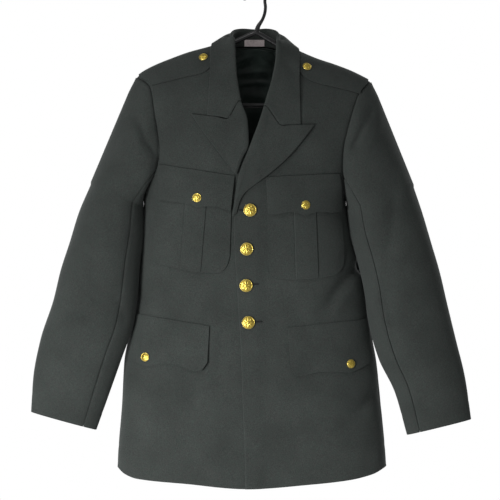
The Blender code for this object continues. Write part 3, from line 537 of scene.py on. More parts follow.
def wool_serge(dark=(0.0235, 0.0275, 0.0256), light=(0.0565, 0.0640, 0.0595)):
    """Fine twill with a soft nap and the slight mottling of dyed wool."""
    material, tree, shader, solid, grain = finish("coat_wool", dark, 0.9, Sheen_Weight=0.12,
                                                  Sheen_Tint=(0.75, 0.82, 0.80, 1.0), Specular_IOR_Level=0.25)
    mottle = noise(tree, solid, 620.0, 4.0, 0.7)
    clouds = ramp(tree, noise(tree, solid, 16.0, 3.0, 0.5), (0.25, 0.80), (0.75, 1.12))
    hues = ramp(tree, noise(tree, solid, 230.0, 2.0), (0.3, (1.06, 0.98, 1.0)), (0.7, (0.94, 1.04, 1.01)))
    colour = blended(tree, blended(tree, ramp(tree, mottle, (0.30, dark), (0.70, light)), clouds), hues)
    tree.links.new(colour, shader.inputs["Base Color"])
    twill, warp = ribs(tree, grain, 0.0011, math.radians(-63), 0.6), ribs(tree, grain, 0.0006, 0.0, 0.4)
    nap = noise(tree, solid, 1900.0, 2.0)
    bump(tree, shader, 0.55, 0.0004, (twill, 0.5), (warp, 0.18), (nap, 0.5), (mottle, 0.35))
    return material


def satin_lining():
    """A smooth warp-faced satin with a fine rib and soft sheen."""
    material, tree, shader, solid, grain = finish("lining_satin", (0.03, 0.05, 0.042), 0.36, Sheen_Weight=0.12,
                                                  Anisotropic=0.55)
    colour = ramp(tree, noise(tree, solid, 30.0, 4.0), (0.3, (0.022, 0.034, 0.030)), (0.7, (0.044, 0.066, 0.057)))
    tree.links.new(colour, shader.inputs["Base Color"])
    bump(tree, shader, 0.25, 0.0008, (ribs(tree, grain, 0.0005, 0.0, 0.3), 0.2), (noise(tree, solid, 140.0), 0.6),
         (noise(tree, solid, 900.0, 2.0), 0.2))
    tree.links.new(ramp(tree, noise(tree, solid, 60.0), (0.2, 0.28), (0.8, 0.44)), shader.inputs["Roughness"])
    return material


def gilt_metal():
    """Bright gilt, a little toned in its hollows and rubbed on what stands proud."""
    material, tree, shader, solid, _ = finish("button_gilt", (0.86, 0.63, 0.17), 0.3, Metallic=1.0)
    shape = node(tree, "ShaderNodeNewGeometry")
    wear = ramp(tree, shape.outputs["Pointiness"], (0.42, (0.30, 0.19, 0.03)), (0.5, (0.80, 0.60, 0.11)),
                (0.58, (1, 0.85, 0.32)))
    tone = ramp(tree, noise(tree, solid, 420.0, 4.0), (0.3, (0.86, 0.84, 0.76)), (0.7, (1.05, 1.04, 1.0)))
    tree.links.new(blended(tree, wear, tone), shader.inputs["Base Color"])
    tree.links.new(ramp(tree, noise(tree, solid, 900.0), (0.3, 0.24), (0.7, 0.42)), shader.inputs["Roughness"])
    bump(tree, shader, 0.5, 0.0005, (noise(tree, solid, 800.0, 4.0), 1.0))
    return material


def woven_tape():
    material, tree, shader, solid, grain = finish("label_cloth", (0.72, 0.62, 0.62), 0.8, Sheen_Weight=0.2)
    colour = ramp(tree, noise(tree, solid, 260.0), (0.3, (0.60, 0.50, 0.51)), (0.7, (0.82, 0.73, 0.72)))
    tree.links.new(colour, shader.inputs["Base Color"])
    bump(tree, shader, 0.5, 0.0003, (ribs(tree, grain, 0.0009), 0.5), (ribs(tree, grain, 0.0009, math.pi / 2), 0.5))
    return material


def moulded_black():
    material, tree, shader, solid, _ = finish("hanger_black", (0.012, 0.012, 0.013), 0.32, Coat_Weight=0.15)
    scuffs = ramp(tree, noise(tree, solid, 90.0, 6.0, 0.7), (0.35, 0.26), (0.75, 0.5))
    tree.links.new(scuffs, shader.inputs["Roughness"])
    colour = ramp(tree, noise(tree, solid, 35.0, 4.0), (0.3, (0.009, 0.009, 0.010)), (0.8, (0.020, 0.020, 0.021)))
    tree.links.new(colour, shader.inputs["Base Color"])
    bump(tree, shader, 0.12, 0.0003, (noise(tree, solid, 700.0), 1.0))
    return material


# The buttonhole stitches are real thread, but their near-black colour is painted shade of the sewn buttonholes. On
# the tube along each slit this finish is painted shadow in the cut.
def thread_and_slit_shade():
    material, tree, shader, solid, _ = finish("thread_and_slit_shade", (0.005, 0.006, 0.006), 0.7, Sheen_Weight=0.03)
    colour = ramp(tree, noise(tree, solid, 1500.0), (0.3, (0.003, 0.004, 0.004)), (0.7, (0.009, 0.011, 0.010)))
    tree.links.new(colour, shader.inputs["Base Color"])
    bump(tree, shader, 0.8, 0.0004, (noise(tree, solid, 2600.0, 2.0), 1.0))
    return material


WOOL = wool_serge()
SATIN = satin_lining()
GILT = gilt_metal()
TAPE = woven_tape()
BLACK = moulded_black()
THREAD_AND_SLIT_SHADE = thread_and_slit_shade()

# Fronts and backs
LOW_ROWS, HIGH_ROWS, COLUMNS = 60, 62, 58
SPREAD = 1.55
CHEST_Z = {"left": -405.0, "right": -395.0}
FRONT_LOW_Z = -899.0
BACK_LOW_Z = -885.0
BACK_HEM_Z = -868.0


def neck_drop(x):
    reach = NECK_BACK * np.sqrt(np.maximum(1 - (x / NECK_HALF) ** 2, 0.0))
    return SHOULDER_ROUND * (1 - np.sqrt(1 - reach ** 2))


def panel(side, back):
    """Ring angles and heights of a panel, from hem to shoulder and from side seam to middle."""
    hole, edge = ARMHOLE[side], FRONT_EDGE[side]
    towards = TOWARDS[side]
    armpit, tip, hem = hole["at"][0], hole["at"][-1], HEM_ENDS[side]
    rise = spaced(LOW_ROWS, True, False)[:-1]
    v = np.concatenate([rise, np.linspace(0, 1, HIGH_ROWS + 1)])
    low = np.arange(len(v)) < len(rise)
    up = (1 - v) ** SPREAD
    side_z = np.where(low, mix(hem, armpit, v), tip - (tip - armpit) * up)
    x = hole["x"](side_z)
    if back:
        x = x + towards * ARMHOLE_BACK * np.sin(math.pi * v)
        top = shoulder_z(CENTRE) - neck_drop(CENTRE)
        low_z, edge_top = BACK_LOW_Z, top
    else:
        low_z, edge_top = FRONT_LOW_Z, edge["at"][-1]
    start = np.where(low, 0.0 if side == "left" else math.pi, np.abs(ring_angle(x, side_z)))
    edge_z = np.where(low, mix(low_z, CHEST_Z[side], v), edge_top - (edge_top - CHEST_Z[side]) * up)
    end = np.full_like(v, math.pi / 2) if back else ring_angle(edge["x"](edge_z), edge_z)
    start_x, end_x = ring_point(start, side_z)[:, 0], ring_point(end, edge_z)[:, 0]
    v, low, start, end, side_z, edge_z, start_x, end_x = (
        a[:, None] for a in (v, low, start, end, side_z, edge_z, start_x, end_x))
    c = spaced(COLUMNS)[None, :]
    angle, level = mix(start, end, c), mix(side_z, edge_z, c)
    x = ring_point(angle, level)[..., 0]
    hem_at = hem_z(x)
    if back:
        hem_at = mix(hem_at, BACK_HEM_Z, 0.6 * ease(c / 0.4))
    low_level = level + (hem_at - mix(hem, low_z, c)) * (1 - v) ** 2
    hang = mix(shoulder_z(start_x) - side_z, shoulder_z(end_x) - edge_z, c)
    if back:
        x = mix(start_x, end_x, c)
        hang = hang + (neck_drop(x) - neck_drop(np.array(CENTRE)) * c) * v ** 2
    blend = ease(v / 0.6)
    x = mix(x, mix(start_x, end_x, c), blend)
    high_level = mix(level, shoulder_z(x) - hang, blend)
    high_angle = ring_angle(x, high_level)
    return np.where(low, angle, high_angle), np.where(low, low_level, high_level)


def make_body(side, back):
    angle, z = panel(side, back)
    x = ring_point(angle, z)[..., 0]
    apart = np.where((np.abs(np.sin(angle)) < 0.004) | (closing(x, z) < 0.03), SEAM_HALF, 0.0)
    across = lengths(cloth(angle, z), 1)
    from_side, from_middle = across, across[:, -1:] - across
    rows = lengths(cloth(angle, z), 0)
    flush = np.exp(-((z - ARMHOLE[side]["at"][0]) / ARMPIT_FLUSH) ** 2)
    dip = SEAM_DIP * np.exp(-(from_side / SEAM_WIDTH) ** 2) * (1 - flush)
    towards = TOWARDS[side]
    if back:
        dip = dip + SEAM_DIP * np.exp(-(from_middle / SEAM_WIDTH) ** 2)
        lift, turn = -dip, -angle
    else:
        lift, turn = front_lift(side, x) - dip, angle
    hemmed = 0.5 * np.exp(-((rows - 1.0) / 3.0) ** 2) - 0.35 * np.exp(-((rows - HEM_DEPTH) / FELL_WIDTH) ** 2)
    lift = lift + hemmed * ease((rows[-1:] - rows) / 200.0)
    shift = np.stack([np.zeros_like(apart), apart if back else -apart, np.zeros_like(apart)], -1)
    if back:
        shift[:, -1, 0] += towards * GAP / 2
    outer, inner = cloth(turn, z, lift) + shift, cloth(turn, z, lift - PANEL) + shift
    place = ("back_" if back else "front_") + side
    cloth_piece(place + "_cloth", place, outer, inner, [WOOL, SATIN], "hung", ["hanger"])


# Sleeves
SLEEVE = {
    "right": curves(
        "k inner_x inner_z outer_x outer_z depth forward",
        (0, -200, -396, -295, -355, 60, -17), (1, -199.4, -437, -316, -405, 58, -24),
        (2, -205.4, -491, -332, -458, 56, -31), (3, -209.5, -547, -348, -508, 54, -35),
        (4, -216.5, -600, -361, -562, 52, -37), (5, -240, -670, -384, -632, 46, -38),
        (6, -263, -735, -397, -700, 36, -38), (7, -284, -794, -401, -762, 25, -38),
    ),
    "left": curves(
        "k inner_x inner_z outer_x outer_z depth forward",
        (0, 164, -402, 285, -360, 60, -20), (1, 170, -445, 300, -405, 58, -24),
        (2, 183, -491, 316, -460, 56, -31), (3, 195.5, -547, 331, -512, 54, -35),
        (4, 202.5, -600, 344, -568, 52, -37), (5, 221, -666, 360, -634, 46, -38),
        (6, 250, -726, 376, -700, 36, -38), (7, 272, -803, 387, -775, 25, -38),
    ),
}
SLEEVE_HEAD_ROWS = 6
SLEEVE_RINGS = 7
SLEEVE_STEPS = {"under": 38, "top": 84}
SLEEVE_HEAD_FULL = 11.0
ALLOWANCE = ((5.0, -8.0), (4.6, -3.0), (3.6, 0.2), (1.6, 0.6))
SLEEVE_SEAMS = (math.radians(-62), math.radians(52))
SLEEVE_SEAM_HALF = 0.006
SLEEVE_DRAGS = {
    "left": ((222, -190, 178, -285, 9.0, 5.0), (247, -382, 229, -558, 16.0, 3.5), (229, -558, 244, -646, 14.0, 2.5)),
    "right": ((-212, -238, -180, -297, 11.0, 3.5), (-248, -555, -300, -590, 12.0, 3.0),
              (-238, -600, -290, -622, 12, 2.5)),
}
SLEEVE_FRONT_CREASES = {
    "left": (
        (218, -194, 192, -258, 3, 4, 3), (194, -250, 165, -300, 3, 4.5, 3.2), (236, -204, 196, -300, 5, 7, -2.6),
        (247, -380, 236, -474, 4, 9, 1.6), (300, -452, 262, -520, -8, 9, 1.5), (229, -556, 248, -650, 4, 8, 1.7),
        (318, -560, 262, -596, 6, 8, 1.9), (330, -610, 268, -632, 5, 7, 1.5), (214, -590, 258, -616, -4, 6, -1.4),
        (352, -700, 300, -736, 4, 11, 1.3), (262, -300, 246, -392, -5, 14, 1.6), (186, -430, 222, -476, -3, 7, 1.5),
    ),
    "right": (
        (-210, -240, -196, -280, 3, 4, 2), (-198, -276, -176, -306, 3, 4, 2.2),
        (-226, -236, -204, -300, 4, 7, -1.6), (-248, -556, -232, -604, 3, 6, 1.8),
        (-306, -536, -252, -572, -6, 8, 1.8), (-344, -590, -272, -604, 6, 8, 1.5),
        (-236, -606, -292, -640, 5, 7, 1.6), (-266, -372, -252, -462, 5, 12, 1.4),
        (-214, -436, -246, -480, 3, 7, 1.3), (-330, -676, -284, -700, -4, 10, 1.2),
        (-372, -640, -318, -664, 5, 9, 1.1), (-300, -470, -286, -532, 4, 11, 1.2),
    ),
}
SLEEVE_BACK_CREASES = {
    "left": (
        (206, -250, 188, -340, 5, 9, 2.4), (300, -470, 236, -530, 8, 9, 2), (338, -566, 250, -606, -7, 8, 2.3),
        (340, -600, 262, -648, 6, 8, 1.8), (214, -566, 262, -590, 4, 6, -1.2), (352, -690, 300, -742, 5, 11, 1.4),
        (268, -330, 250, -430, -6, 14, 1.6),
    ),
    "right": (
        (-208, -262, -198, -346, -5, 9, 2.2), (-312, -460, -248, -516, -8, 9, 1.9),
        (-352, -556, -262, -596, 7, 8, 2.2), (-356, -604, -276, -640, -6, 8, 1.9),
        (-226, -560, -270, -586, -4, 6, -1.2), (-376, -680, -316, -722, -5, 11, 1.4),
        (-276, -330, -266, -424, 6, 14, 1.5),
    ),
}


def armhole_point(side, turn):
    hole = ARMHOLE[side]
    low, high = hole["at"][0], hole["at"][-1]
    towards = TOWARDS[side]
    back = np.sin(turn) < 0
    z = mix(low, high, (1 - np.cos(turn)) / 2)
    v = 1 - ((high - z) / (high - low)) ** (1 / SPREAD)
    x = hole["x"](z) + np.where(back, towards * ARMHOLE_BACK * np.sin(math.pi * v), 0.0)
    angle = np.where(back, -ring_angle(x, z), ring_angle(x, z))
    return ring_point(angle, z), ring_normal(angle, z)


def sleeve_ring(side, k, turn):
    row = {name: read(k) for name, read in SLEEVE[side].items() if name not in ("at", "k")}
    inner = np.stack([row["inner_x"], row["forward"], row["inner_z"]], -1)
    outer = np.stack([row["outer_x"], row["forward"], row["outer_z"]], -1)
    middle, arm = (inner + outer) / 2, (inner - outer) / 2
    swing = np.zeros(np.broadcast(k, turn).shape + (3,))
    swing[..., 1] = -row["depth"] * np.sin(turn)
    return middle + arm * np.cos(turn)[..., None] + swing


def sleeve_surface(side, row, turn):
    """Rows count from the armhole: first the head of the sleeve, then its rings."""
    row, turn = np.broadcast_arrays(np.asarray(row, float), np.asarray(turn, float))
    towards = TOWARDS[side]
    t = np.clip(row / SLEEVE_HEAD_ROWS, 0, 1)
    start = armhole_point(side, turn)[0] + np.array([towards * (GAP + 0.2), 0.0, 0.0])
    head = mix(start, sleeve_ring(side, np.zeros_like(turn), turn), t[..., None])
    swell = SLEEVE_HEAD_FULL * np.sin(math.pi * t ** 0.7) * (1 - t ** 3)
    head[..., 0] += towards * (1 - np.cos(turn)) * ease(t / 0.15)
    head[..., 1] -= swell * np.sin(turn)
    rings = sleeve_ring(side, np.clip(row - SLEEVE_HEAD_ROWS, 0, SLEEVE_RINGS), turn)
    point = np.where((row < SLEEVE_HEAD_ROWS)[..., None], head, rings)
    x, z = point[..., 0].copy(), point[..., 2].copy()
    front, back = np.maximum(np.sin(turn), 0), np.maximum(-np.sin(turn), 0)
    fade = ease(row / 1.2)
    point[..., 1] += troughs(x, z, SLEEVE_DRAGS[side]) * front
    point[..., 1] += creases(x, z, SLEEVE_FRONT_CREASES[side]) * np.minimum(front * 1.6, 1) * fade
    point[..., 1] -= creases(x, z, SLEEVE_BACK_CREASES[side]) * np.minimum(back * 1.6, 1) * fade
    return point


def seam_allowance(side, turns):
    """The sleeve turns in at the armhole seam and runs on under the body's cloth."""
    seam, out = armhole_point(side, turns)
    towards = np.array([TOWARDS[side], 0.0, 0.0])
    sides = []
    for deeper in (0.0, 1.0):
        rows = [seam - out * (depth + deeper) + towards * reach for depth, reach in ALLOWANCE]
        sides.append(np.concatenate(rows))
    return sides


def make_sleeve(side, part):
    low, high = SLEEVE_SEAMS
    start, end = (low, high) if part == "under" else (high, low + math.tau)
    turns = mix(start + SLEEVE_SEAM_HALF, end - SLEEVE_SEAM_HALF, spaced(SLEEVE_STEPS[part]))[None, :]
    head = np.linspace(0, SLEEVE_HEAD_ROWS, 37)[:-1]
    rows = np.concatenate([head, SLEEVE_HEAD_ROWS + SLEEVE_RINGS * spaced(76, False, True)])[:, None]
    outer = sleeve_surface(side, rows, turns)
    middle = sleeve_surface(side, rows, np.linspace(0, math.tau, 25)[None, :-1]).mean(axis=1, keepdims=True)
    around = sleeve_surface(side, rows, turns + 0.03) - sleeve_surface(side, rows, turns - 0.03)
    further, nearer = np.minimum(rows + 0.1, SLEEVE_HEAD_ROWS + SLEEVE_RINGS), np.maximum(rows - 0.1, 0)
    along = sleeve_surface(side, further, turns) - sleeve_surface(side, nearer, turns)
    normal = unit(np.cross(around, along))
    normal = normal * np.where(np.sum(normal * (outer - middle), -1, keepdims=True) > 0, 1.0, -1.0)
    normal[..., 0] *= mix((1 + np.cos(turns)) / 2, 1.0, ease(rows))
    normal = unit(normal)
    across, down = lengths(outer, 1), lengths(outer, 0)
    near = np.minimum(across, across[:, -1:] - across)
    dip = SEAM_DIP * 0.7 * np.exp(-(near / SEAM_WIDTH) ** 2)
    from_cuff = down[-1:] - down
    dip = dip + 0.35 * np.exp(-((from_cuff - CUFF_DEPTH) / FELL_WIDTH) ** 2)
    outer = outer - normal * dip[..., None]
    inner = outer - normal * PANEL
    tucked, allowance = seam_allowance(side, turns)
    outer, inner = np.concatenate([tucked, outer]), np.concatenate([allowance, inner])
    place = "sleeve_" + side + "_" + part
    cloth_piece(place + "_cloth", place, outer, inner, [WOOL, SATIN], "hung", under(side, "front", "back"))


# Collar and lapels: coarse grids of stations, carried through on smooth curves
COLLAR_TURN = ((-22, 52, -71.5), (-36, 38, -74.0), (-42, 18, -79.5), (-42, -2, -87.0))
COLLAR_BACK = ((-25, -34, -121, 3.2), (-46, -60, -119, 3.6), (-59, -74, -113, 6.2))
COLLAR_FRONT = {
    "right": ((-94, -78.0, -114, 6.0), (-102, -79.0, -131, 5.8), (-126, -80.5, -162, 4.0),
              (-160, -82.5, -196, 3), (-207, -85.5, -233.4, 2.2)),
    "left": ((-100, 78.0, -122, 6.0), (-108, 78.5, -140, 5.8), (-132, 79.0, -170, 4.0),
             (-166, 80, -206, 3), (-216, 81.5, -249.6, 2.2)),
}
GORGE_INNER = {"right": (-47.5, -238.0), "left": (45.0, -250.5)}
ACROSS = (0.2, 0.4, 0.6, 0.8, 1.0)
GORGE_SHARE = 0.4
TURN = 2.6
TURN_END = 1.5


def back_neck(x):
    return on_back(x, shoulder_z(x) - neck_drop(x), -PANEL / 2) + np.array([0.0, 0.0, 2.2])


def fall_point(turn, edge, c):
    outward = (edge - turn) * np.array([1.0, 1.0, 0.0])
    outward = outward / max(np.linalg.norm(outward), 1e-6)
    return mix(turn, edge, c) + (outward * 3.0 + np.array([0.0, 0.0, 3.0])) * math.sin(math.pi * c ** 0.6)


def hanging_section(seam, turn, edge):
    outward = (edge - turn) * np.array([1.0, 1.0, 0.0])
    outward = outward / np.linalg.norm(outward)
    rise = np.array([0.0, 0.0, 1.0])
    inside = turn - outward * TURN - rise * TURN * 1.4
    points = [seam, mix(seam, inside, 0.6), inside, turn, turn + outward * TURN - rise * TURN * 1.1]
    return points + [fall_point(points[-1], edge, c) for c in ACROSS]


def turned_points(side, roll, base, radius=TURN):
    towards = TOWARDS[side]
    points = []
    for degrees in (-90, -135, 180, 135, 90):
        a = math.radians(degrees)
        x = roll[0] + towards * (radius + radius * math.cos(a))
        points.append(on_front(x, roll[1], base - 0.5 + radius + radius * math.sin(a)))
    return points


def gorge_line(side, c, start, end):
    inner = GORGE_INNER[side]
    if c < GORGE_SHARE:
        a, b, t = start, inner, c / GORGE_SHARE
    else:
        a, b, t = inner, end, (c - GORGE_SHARE) / (1 - GORGE_SHARE)
    return mix(a[0], b[0], t), mix(a[1], b[1], t)


def collar_station(side, kind, k):
    towards = TOWARDS[side]
    if kind == "middle":
        return hanging_section(back_neck(-1.0), np.array([-1.0, 57.0, -72.5]), on_back(-1.0, -122.0, 3.0))
    if kind == "back":
        seam_x, edge_x, edge_z, lift = COLLAR_BACK[k]
        turn = np.array(COLLAR_TURN[k], float)
        turn[0] *= -towards
        turn[2] -= k if side == "left" else 0.0
        drop = 3.5 * k if side == "left" else 0.0
        return hanging_section(back_neck(-towards * seam_x), turn, on_back(-towards * edge_x, edge_z - drop, lift))
    if kind == "shoulder":
        turn = np.array(COLLAR_TURN[3], float)
        turn[0] *= -towards
        turn[2] -= 4.0 if side == "left" else 0.0
        x, far = towards * NECK_HALF, towards * 77.0
        seam = np.array([x - towards * 2.0, 0.0, shoulder_z(x) + 0.6])
        return hanging_section(seam, turn, np.array([far, -2.0, shoulder_z(far) + 6.2]))
    turn_z, edge_x, edge_z, lift = COLLAR_FRONT[side][k]
    roll = (float(ROLL[side](turn_z)), turn_z)
    points = turned_points(side, roll, 0.0)
    roll = (roll[0] + towards * TURN, roll[1])
    for c in ACROSS:
        x, z = mix(roll[0], edge_x, c), mix(roll[1], edge_z, c)
        if k == 4:
            x, z = gorge_line(side, c, roll, (edge_x, edge_z))
            z += 0.7
        points.append(on_front(x, z, mix(4.7, lift, float(ease(c)))))
    return points


def collar_grid():
    half = {}
    for side in ("right", "left"):
        half[side] = [collar_station(side, "front", k) for k in (4, 3, 2, 1, 0)]
        half[side].append(collar_station(side, "shoulder", 0))
        half[side] += [collar_station(side, "back", k) for k in (2, 1, 0)]
    return np.array(half["right"] + [collar_station("right", "middle", 0)] + half["left"][::-1])


def make_collar():
    grid = through(through(collar_grid(), 0, 9), 1, 6)
    outer, inner = thickened(grid, FOLDED)
    rests = ["front_left_cloth", "front_right_cloth", "back_left_cloth", "back_right_cloth"]
    cloth_piece("collar_cloth", "collar", outer, inner, [WOOL], "folded", rests)


LAPEL_EDGE = {
    "left": curves(
        "t    x      z",
        (0, 106, -249), (0.2, 82, -280), (0.4, 56, -310), (0.6, 20, -341),
        (0.75, -6, -360), (0.88, -24, -378), (1, -33.5, -408),
    ),
    "right": curves(
        "t    x      z",
        (0, -114, -230), (0.3, -92, -262), (0.6, -66, -297), (1, -39, -332),
    ),
}
LAPEL_TURN_Z = {"left": (-216.8, -411.0), "right": (-207.8, -337.0)}
LAPEL_ROWS = 12
RAISED = 3.0
RAISED_FROM, RAISED_OVER = -245.0, 17.0
LAPEL_STAND = {"left": 4.4, "right": 2.0}


def lapel_grid(side):
    towards = TOWARDS[side]
    top, bottom = LAPEL_TURN_Z[side]
    start = (float(ROLL[side](top)) + towards * TURN, top)
    tip = (float(LAPEL_EDGE[side]["x"](0.0)), float(LAPEL_EDGE[side]["z"](0.0)))
    grid = []
    for i in range(LAPEL_ROWS + 1):
        t = i / LAPEL_ROWS
        turn_z = mix(top, bottom, t)
        turn_x = float(ROLL[side](turn_z))
        edge = [float(LAPEL_EDGE[side][axis](t)) for axis in "xz"]
        raised = RAISED * float(ease((RAISED_FROM - turn_z) / RAISED_OVER)) if side == "right" else 0.0
        radius = mix(TURN, TURN_END, float(ease((t - 0.75) / 0.25)))
        line = turned_points(side, (turn_x, turn_z), float(front_lift(side, turn_x)) + raised, radius)
        turn_x += towards * radius
        for c in ACROSS:
            x, z = mix(turn_x, edge[0], c), mix(turn_z, edge[1], c)
            bent = gorge_line(side, c, start, tip)
            x += (bent[0] - mix(start[0], tip[0], c)) * (1 - t)
            z += (bent[1] - mix(start[1], tip[1], c)) * (1 - t)
            over = mix(raised - 0.5 + 2 * radius, FOLDED / 2 + LIE, float(ease(c)))
            over += LAPEL_STAND[side] * c * math.sin(math.pi * min(t * 0.9 + 0.1, 1.0)) ** 0.8
            line.append(on_front(x, z, front_lift(side, x) + over))
        grid.append(line)
    return np.array(grid)


def make_lapel(side):
    grid = through(through(lapel_grid(side), 0, 6), 1, 6)
    outer, inner = thickened(grid, FOLDED)
    cloth_piece("lapel_" + side + "_cloth", "lapel_" + side, outer, inner, [WOOL], "folded", under(side, "front"))


# What lies on the fronts: the top, bottom, and the two side lines seen from the front
POCKET = {
    "right": curves(
        "c    x_top  z_top   x_low  z_low",
        (0.00, -170.5, -372, -181, -466), (0.04, -165, -372, -180.5, -486),
        (0.12, -155, -372, -171, -496), (0.24, -140, -372, -153, -501),
        (0.36, -124.5, -372, -134, -505), (0.40, -120, -372, -130, -506.5),
        (0.60, -87, -372, -99, -511.5), (0.64, -82.5, -372, -94, -512),
        (0.85, -60, -372, -64, -512), (0.95, -46, -372, -50, -500),
        (1.00, -41, -372, -45, -483),
    ),
    "left": curves(
        "c    x_top  z_top   x_low  z_low",
        (0.00, 22.5, -390, 22.5, -494), (0.06, 29, -390, 27, -513),
        (0.15, 40, -390, 40, -522), (0.26, 54, -390, 56, -523.5),
        (0.36, 66.5, -390, 70.5, -524), (0.40, 71.5, -390, 75.5, -524),
        (0.58, 104, -390, 110, -522), (0.62, 109, -390, 115, -521.5),
        (0.74, 124, -390, 130, -519), (0.85, 138, -390, 145, -515),
        (0.95, 146, -390, 156, -502), (1.00, 151, -390, 159.5, -483),
    ),
}
BREAST_FLAP = {
    "right": curves(
        "c    x_top  z_top   x_low  z_low",
        (0.00, -171, -319, -167.5, -382), (0.15, -151, -322, -148, -386),
        (0.30, -130, -326, -127, -388), (0.42, -114, -328, -115, -391),
        (0.50, -103, -330, -103, -396.5), (0.60, -90, -332, -90, -394.5),
        (0.74, -71, -335, -70, -394.5), (0.88, -52, -338, -54, -399.5),
        (1.00, -36, -340, -43, -402.5),
    ),
    "left": curves(
        "c    x_top  z_top   x_low  z_low",
        (0.00, 19, -342, 23, -408), (0.12, 35, -341.5, 37, -408.5),
        (0.32, 61, -340, 61, -404), (0.42, 74, -339.5, 76, -406),
        (0.52, 88, -339, 88, -410.5), (0.62, 101, -338, 101, -406),
        (0.76, 119, -337, 118, -404), (0.88, 135, -336.5, 134, -406),
        (1.00, 150, -336, 151, -403),
    ),
}
LOWER_FLAP = {
    "right": curves(
        "c    x_top  z_top   x_low  z_low",
        (0.00, -211, -586, -226.5, -664), (0.14, -192, -589, -209, -673),
        (0.26, -175, -592, -193, -679.5), (0.38, -158, -594.5, -176, -676.5),
        (0.52, -140, -597.5, -158, -673.5), (0.68, -120, -601, -137, -677),
        (0.86, -97, -604.5, -113, -685.5), (0.95, -86, -606.5, -97, -687),
        (1.00, -81, -607, -84.5, -672),
    ),
    "left": curves(
        "c    x_top  z_top   x_low  z_low",
        (0.00, 58, -610, 63.5, -682), (0.06, 66, -609, 74, -696),
        (0.18, 83, -607.5, 90, -695), (0.38, 110, -604.5, 117, -688.5),
        (0.55, 135, -602, 143, -688), (0.70, 156, -600, 167, -690.5),
        (0.82, 172, -598.5, 184, -685), (0.92, 186, -596.5, 199, -677),
        (1.00, 197, -595, 210, -670),
    ),
}
PLEAT_ENDS = {"right": (0.38, 0.62), "left": (0.38, 0.60)}


def laid_on(side, shape, c, v, lift):
    """Points between a piece's top and bottom lines, on the front."""
    c, v = np.broadcast_arrays(c[None, :], v[:, None])
    x = mix(shape["x_top"](c), shape["x_low"](c), v)
    z = mix(shape["z_top"](c), shape["z_low"](c), v)
    return on_front(x, z, front_lift(side, x) + lift)


def make_pocket(side):
    ends = PLEAT_ENDS[side]
    near = np.array([-0.016, -0.010, -0.006, -0.003, 0.0, 0.003, 0.006, 0.010, 0.016])
    c = np.unique(np.concatenate([spaced(60), ends[0] + near, ends[1] + near]))
    v = spaced(44)
    rise = PLEAT * (ease((c - ends[0] + 0.004) / 0.008) - ease((c - ends[1] + 0.004) / 0.008))
    for at, way in ((ends[0], -1), (ends[1], 1)):
        rise = rise - 0.55 * np.exp(-((c - at - way * 0.007) / 0.004) ** 2)
    open_out = 0.35 * np.sin(math.pi * np.clip((c - ends[0]) / (ends[1] - ends[0]), 0, 1))
    lift = LIE + (rise + open_out)[None, :] * (1 - 0.35 * ease((v - 0.8) / 0.2))[:, None]
    shape = POCKET[side]
    inner = laid_on(side, shape, c, v, np.maximum(lift, LIE - 0.4))
    outer = laid_on(side, shape, c, v, np.maximum(lift, LIE - 0.4) + PATCH)
    place = "breast_pocket_" + side
    cloth_piece(place + "_cloth", place, outer, inner, [WOOL], "stretched", under(side, "front"))


# Flaps: outline, lift, and where the lower edge curls away, by place, width and height
FLAPS = {
    "breast_flap_right": (BREAST_FLAP["right"], FLAP_LIFT, ((0.5, 0.12, 0.5), (0.95, 0.12, 0.4))),
    "breast_flap_left": (BREAST_FLAP["left"], FLAP_LIFT, ((0.3, 0.16, 2), (0.55, 0.12, 1.6), (0.9, 0.12, 1))),
    "lower_flap_right": (LOWER_FLAP["right"], LIE, ((0.95, 0.16, 3.4), (0.5, 0.2, 1.6))),
    "lower_flap_left": (LOWER_FLAP["left"], LIE, ((0.06, 0.14, 2.6), (0.5, 0.25, 2.4))),
}


def make_flap(name):
    """A flap sewn along its top: it rises off the seam, and its lower edge stands a little away."""
    shape, lift, curl = FLAPS[name]
    side = name.rpartition("_")[2]
    c, v = spaced(72), spaced(34)
    off_seam = mix(LIE, lift, ease(v / 0.30))[:, None] - 0.5 * np.exp(-(v / 0.03) ** 2)[:, None]
    swell = 0.9 * np.sin(math.pi * v)[:, None] * np.sin(math.pi * c)[None, :]
    stand = sum(height * np.exp(-((c - place) / width) ** 2) for place, width, height in curl)[None, :]
    above = off_seam + swell + stand * (v ** 2.5)[:, None] + 0.0 * c[None, :]
    inner, outer = laid_on(side, shape, c, v, above), laid_on(side, shape, c, v, above + FLAP)
    rests = under(side, "front", "breast_pocket") if "breast" in name else under(side, "front")
    cloth_piece(name + "_cloth", name, outer, inner, [WOOL], "hung", rests)


# Shoulder loops by their share from the collar to the sleeve head: reach below the shoulder line
LOOP = curves("share front back", (0.0, 30.0, 1.0), (0.07, 41.0, 1.5), (0.2, 45.0, 2.0), (0.6, 41.0, 4.0),
              (1, 34, 7))
LOOP_ENDS = {"right": (-76.0, -208.0, -184.5), "left": (75.0, 203.0, 188.0)}


def make_loop(side):
    neck, ridge, front_end = LOOP_ENDS[side]
    share = spaced(56)[:, None]
    across = np.concatenate([1 - spaced(34, True, False), [-0.25, -0.5, -0.75, -0.9, -1.0]])[None, :]
    drop = np.where(across > 0, across * LOOP["front"](share), across * LOOP["back"](share))
    far = mix(ridge, front_end, ease(drop / 34.0))
    x = mix(neck, far, share)
    z = shoulder_z(x) - np.abs(drop)
    swell = 0.5 * np.sin(math.pi * np.clip(across, 0, 1)) * np.sin(math.pi * share)
    sides = []
    for lift in (LOOP_LIFT + PATCH, LOOP_LIFT):
        total = lift + swell
        sides.append(np.where((drop >= 0)[..., None], on_front(x, z, total), on_back(x, z, total)))
    place = "shoulder_loop_" + side
    cloth_piece(place + "_cloth", place, *sides, [WOOL], "laid", under(side, "front", "back"))


